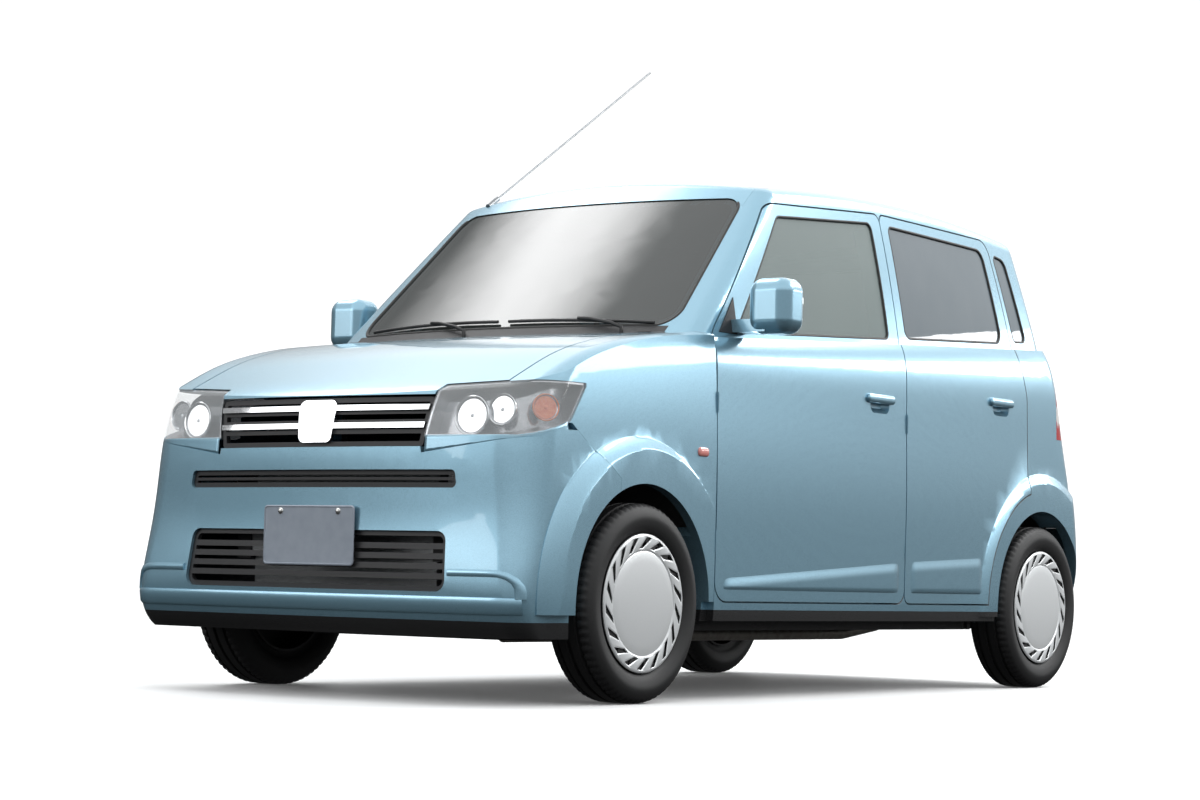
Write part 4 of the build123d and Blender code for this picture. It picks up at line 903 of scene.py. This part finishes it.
top, _ = skin("dashboard", (0.600, -0.330, 1.4), (0, 0, -1))
hood_seat = seat_at(top + Vector((-0.030, 0, 0.020)), (-1, 0, 0.25))
fit(pressed("dial_hood", 0.310, 0.105, 0.050, HOOD_LAYERS, hood_seat, dash_plastic))
for i, offset in enumerate(DIAL_OFFSETS):
    dial_seat = hood_seat @ Matrix.Translation((offset, 0, -0.006))
    fit(lathe(f"dial_{i}", DIAL_PROFILE, dial_seat, dial_face))
    turn = Matrix.Rotation(math.radians(40 + 60 * i), 4, "Z")
    needle_seat = dial_seat @ turn @ Matrix.Translation((0.014, 0, 0.002))
    needle = pressed(f"dial_needle_{i}", 0.036, 0.0022, 0.001, NEEDLE_LAYERS, needle_seat, repeater_lens)
    fit(needle)

# Door linings: an armrest and a lever in a cup on each door, moulded in the same plastic as the dashboard.
# They are clipped and screwed to the inner face of the door.
# door end: middle of the armrest along the car and its height
LININGS = {"front": (0.08, 0.760), "rear": (-0.72, 0.790)}
LEVER_AHEAD, LEVER_ABOVE = 0.16, 0.120
REST_LAYERS = ((0.004, -0.004), (0.0, 0.010), (0.002, 0.030), (0.008, 0.040), (0.016, 0.043))
CUP_LAYERS = ((0.0, -0.004), (0.0, 0.003), (0.003, 0.005), (0.008, 0.002), (0.012, 0.0012))
LEVER_LAYERS = ((0.0, 0.0), (0.0, 0.007), (0.002, 0.009), (0.006, 0.0095))
for end, (x, z) in LININGS.items():
    for side, sign in SIDES:
        body = f"door_{end}_{side}"
        place, _ = skin(body, (x, 0, z), (0, sign, 0))
        seat = seat_at(place, (0, -sign, 0))
        lever_seat = seat @ Matrix.Translation((LEVER_AHEAD * sign, LEVER_ABOVE, 0))
        rest = pressed(f"armrest_{end}_{side}", 0.300, 0.060, 0.028, REST_LAYERS, seat, dash_plastic)
        cup = pressed(f"lever_cup_{end}_{side}", 0.120, 0.056, 0.020, CUP_LAYERS, lever_seat, panel_black)
        lever = pressed(f"lever_{end}_{side}", 0.080, 0.020, 0.008, LEVER_LAYERS, lever_seat, chrome)
        for piece in (rest, cup, lever):
            fit(piece, body)

# Seats: foam pads under woven grey cloth on steel frames, two in front and a bench behind, bolted to the floor.
# Each cover is sewn from panels, so it swells between its seams, and a seam runs along each side of its middle.
seat_cloth = finish(
    "seat_cloth", (0.36, 0.35, 0.33), (0.25, 0.24, 0.23), 600.0, 0.9, 0.0, 0.5, Sheen_Weight=0.3)
seat_frame = finish("seat_frame", (0.05, 0.05, 0.052), (0.03, 0.03, 0.032), 300.0, 0.5, 0.2, 0.3)
SEAT_Y, CABIN_CARPET = 0.330, 0.231
# corners of the side view as along and height, half width, how far the sides rise, seams across
PADS = {
    "front_cushion": (
        ((-0.318, 0.352), (-0.318, 0.482), (0.186, 0.500), (0.186, 0.372)), 0.240, 0.020, (0.130,)),
    "front_back": (
        ((-0.305, 0.490), (-0.440, 0.990), (-0.535, 0.982), (-0.436, 0.452)), 0.228, 0.022, (0.125,)),
    "front_rest": (
        ((-0.466, 1.040), (-0.476, 1.172), (-0.540, 1.172), (-0.540, 1.040)), 0.108, 0.0, ()),
    "rear_cushion": (
        ((-1.135, 0.440), (-1.135, 0.545), (-0.715, 0.560), (-0.715, 0.445)), 0.500, 0.004, (0.02, 0.25)),
    "rear_back": (
        ((-1.076, 0.560), (-1.192, 1.020), (-1.272, 1.012), (-1.190, 0.520)), 0.500, 0.004, (0.02, 0.25)),
}
PAD_CELLS = (12, 12, 4)         # along, across and deep
PAD_PULL = 0.05                 # share by which the sides pull in between the corners
PAD_VOXEL = 0.009
PAD_SWELL = 0.014               # the most that a cover may move outward
PAD_FRAMES = 15
SEAM_HALF_WIDTH, SEAM_DEPTH = 0.012, 0.006
BASE_LAYERS = ((0.030, 0.0), (0.030, 0.020), (0.0, 0.050), (0.0, 0.110), (0.008, 0.118))
BENCH_LAYERS = ((0.010, 0.0), (0.0, 0.020), (0.0, 0.190), (0.010, 0.205))


def pad_form(name):
    """The cut form of a pad before it swells: a grid over its side view and width, with raised sides."""
    corners, half, rise, _ = PADS[name]
    low_back, high_back, high_front, low_front = (Vector((x, 0, z)) for x, z in corners)
    along, across, deep = PAD_CELLS
    points, index, faces = [], {}, []
    for i in range(along + 1):
        for j in range(across + 1):
            for k in range(deep + 1):
                if 0 < i < along and 0 < j < across and 0 < k < deep:
                    continue
                u, v, w = i / along, 2 * j / across - 1, k / deep
                bottom = low_back.lerp(low_front, u)
                top = high_back.lerp(high_front, u)
                thickness = (top - bottom).normalized()
                pull = 1.0 - PAD_PULL * (1 - abs(2 * u - 1) ** 2) * abs(v)
                place = bottom.lerp(top, w) + thickness * (rise * max(abs(v) - 0.45, 0) * 1.8 * w)
                index[i, j, k] = len(points)
                points.append(place + Vector((0, v * half * pull, 0)))
    for axis in range(3):
        first, second = (a for a in range(3) if a != axis)
        for level in (0, PAD_CELLS[axis]):
            for p in range(PAD_CELLS[first]):
                for q in range(PAD_CELLS[second]):
                    face = []
                    for at_first, at_second in ((p, q), (p + 1, q), (p + 1, q + 1), (p, q + 1)):
                        cell = [level] * 3
                        cell[first], cell[second] = at_first, at_second
                        face.append(index[tuple(cell)])
                    faces.append(face)
    return mesh_piece(name, points, faces, seat_cloth, 180)


def swell(pad):
    """Round a pad's corners, fill it by cloth simulation, and hold each point near its place."""
    remesh = pad.modifiers.new("remesh", "REMESH")
    remesh.mode = "VOXEL"
    remesh.voxel_size = PAD_VOXEL
    smooth = pad.modifiers.new("smooth", "SMOOTH")
    smooth.factor = 0.5
    smooth.iterations = 6
    settle(pad)
    before = [v.co.copy() for v in pad.data.vertices]
    cloth = pad.modifiers.new("cloth", "CLOTH")
    cloth.settings.use_pressure = True
    cloth.settings.uniform_pressure_force = 4.0
    cloth.settings.effector_weights.gravity = 0.0
    cloth.settings.quality = 4
    for step in range(1, PAD_FRAMES + 1):
        scene.frame_set(step)
    settle(pad)
    for vertex, old in zip(pad.data.vertices, before):
        move = vertex.co - old
        if move.length > PAD_SWELL:
            vertex.co = old + move * (PAD_SWELL / move.length)
    scene.frame_set(1)


def sew(pad, name):
    """Draw the cover in along its seams, on the faces that a person sits on."""
    _, _, _, seams = PADS[name]
    mesh = pad.data
    for vertex in mesh.vertices:
        if vertex.normal.z < 0.2 and vertex.normal.x < 0.2:
            continue
        for seam in seams:
            for line in (seam, -seam):
                near = 1 - abs(vertex.co.y - line) / SEAM_HALF_WIDTH
                if near > 0:
                    vertex.co -= vertex.normal * SEAM_DEPTH * near
    mesh.shade_smooth()
    finer = pad.modifiers.new("finer", "SUBSURF")
    finer.levels = finer.render_levels = 1


def seat_piece(piece):
    """Have a piece stand for the plain seats of the frame."""
    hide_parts("seats")
    fit(piece)


for name in PADS:
    pad = pad_form(name)
    swell(pad)
    sew(pad, name)
    pads = [pad]
    if name.startswith("front"):
        twin = pad.copy()
        twin.name = f"{name}_right"
        scene.collection.objects.link(twin)
        pad.name = f"{name}_left"
        pad.location.y, twin.location.y = SEAT_Y, -SEAT_Y
        pads.append(twin)
    for piece in pads:
        seat_piece(piece)
for side, sign in SIDES:
    y = SEAT_Y * sign
    base_seat = seat_at((-0.075, y, CABIN_CARPET), (0, 0, 1), (1, 0, 0))
    base = pressed(f"seat_base_{side}", 0.400, 0.400, 0.030, BASE_LAYERS, base_seat, seat_frame)
    seat_piece(base)
    posts = [[(-0.490, y + across, 0.975), (-0.500, y + across, 1.060)] for across in (0.060, -0.060)]
    seat_piece(tube(f"rest_posts_{side}", posts, 0.006, chrome, False))
bench_seat = seat_at((-0.825, 0, CABIN_CARPET), (0, 0, 1), (1, 0, 0))
seat_piece(pressed("bench_frame", 0.960, 0.130, 0.020, BENCH_LAYERS, bench_seat, seat_frame))
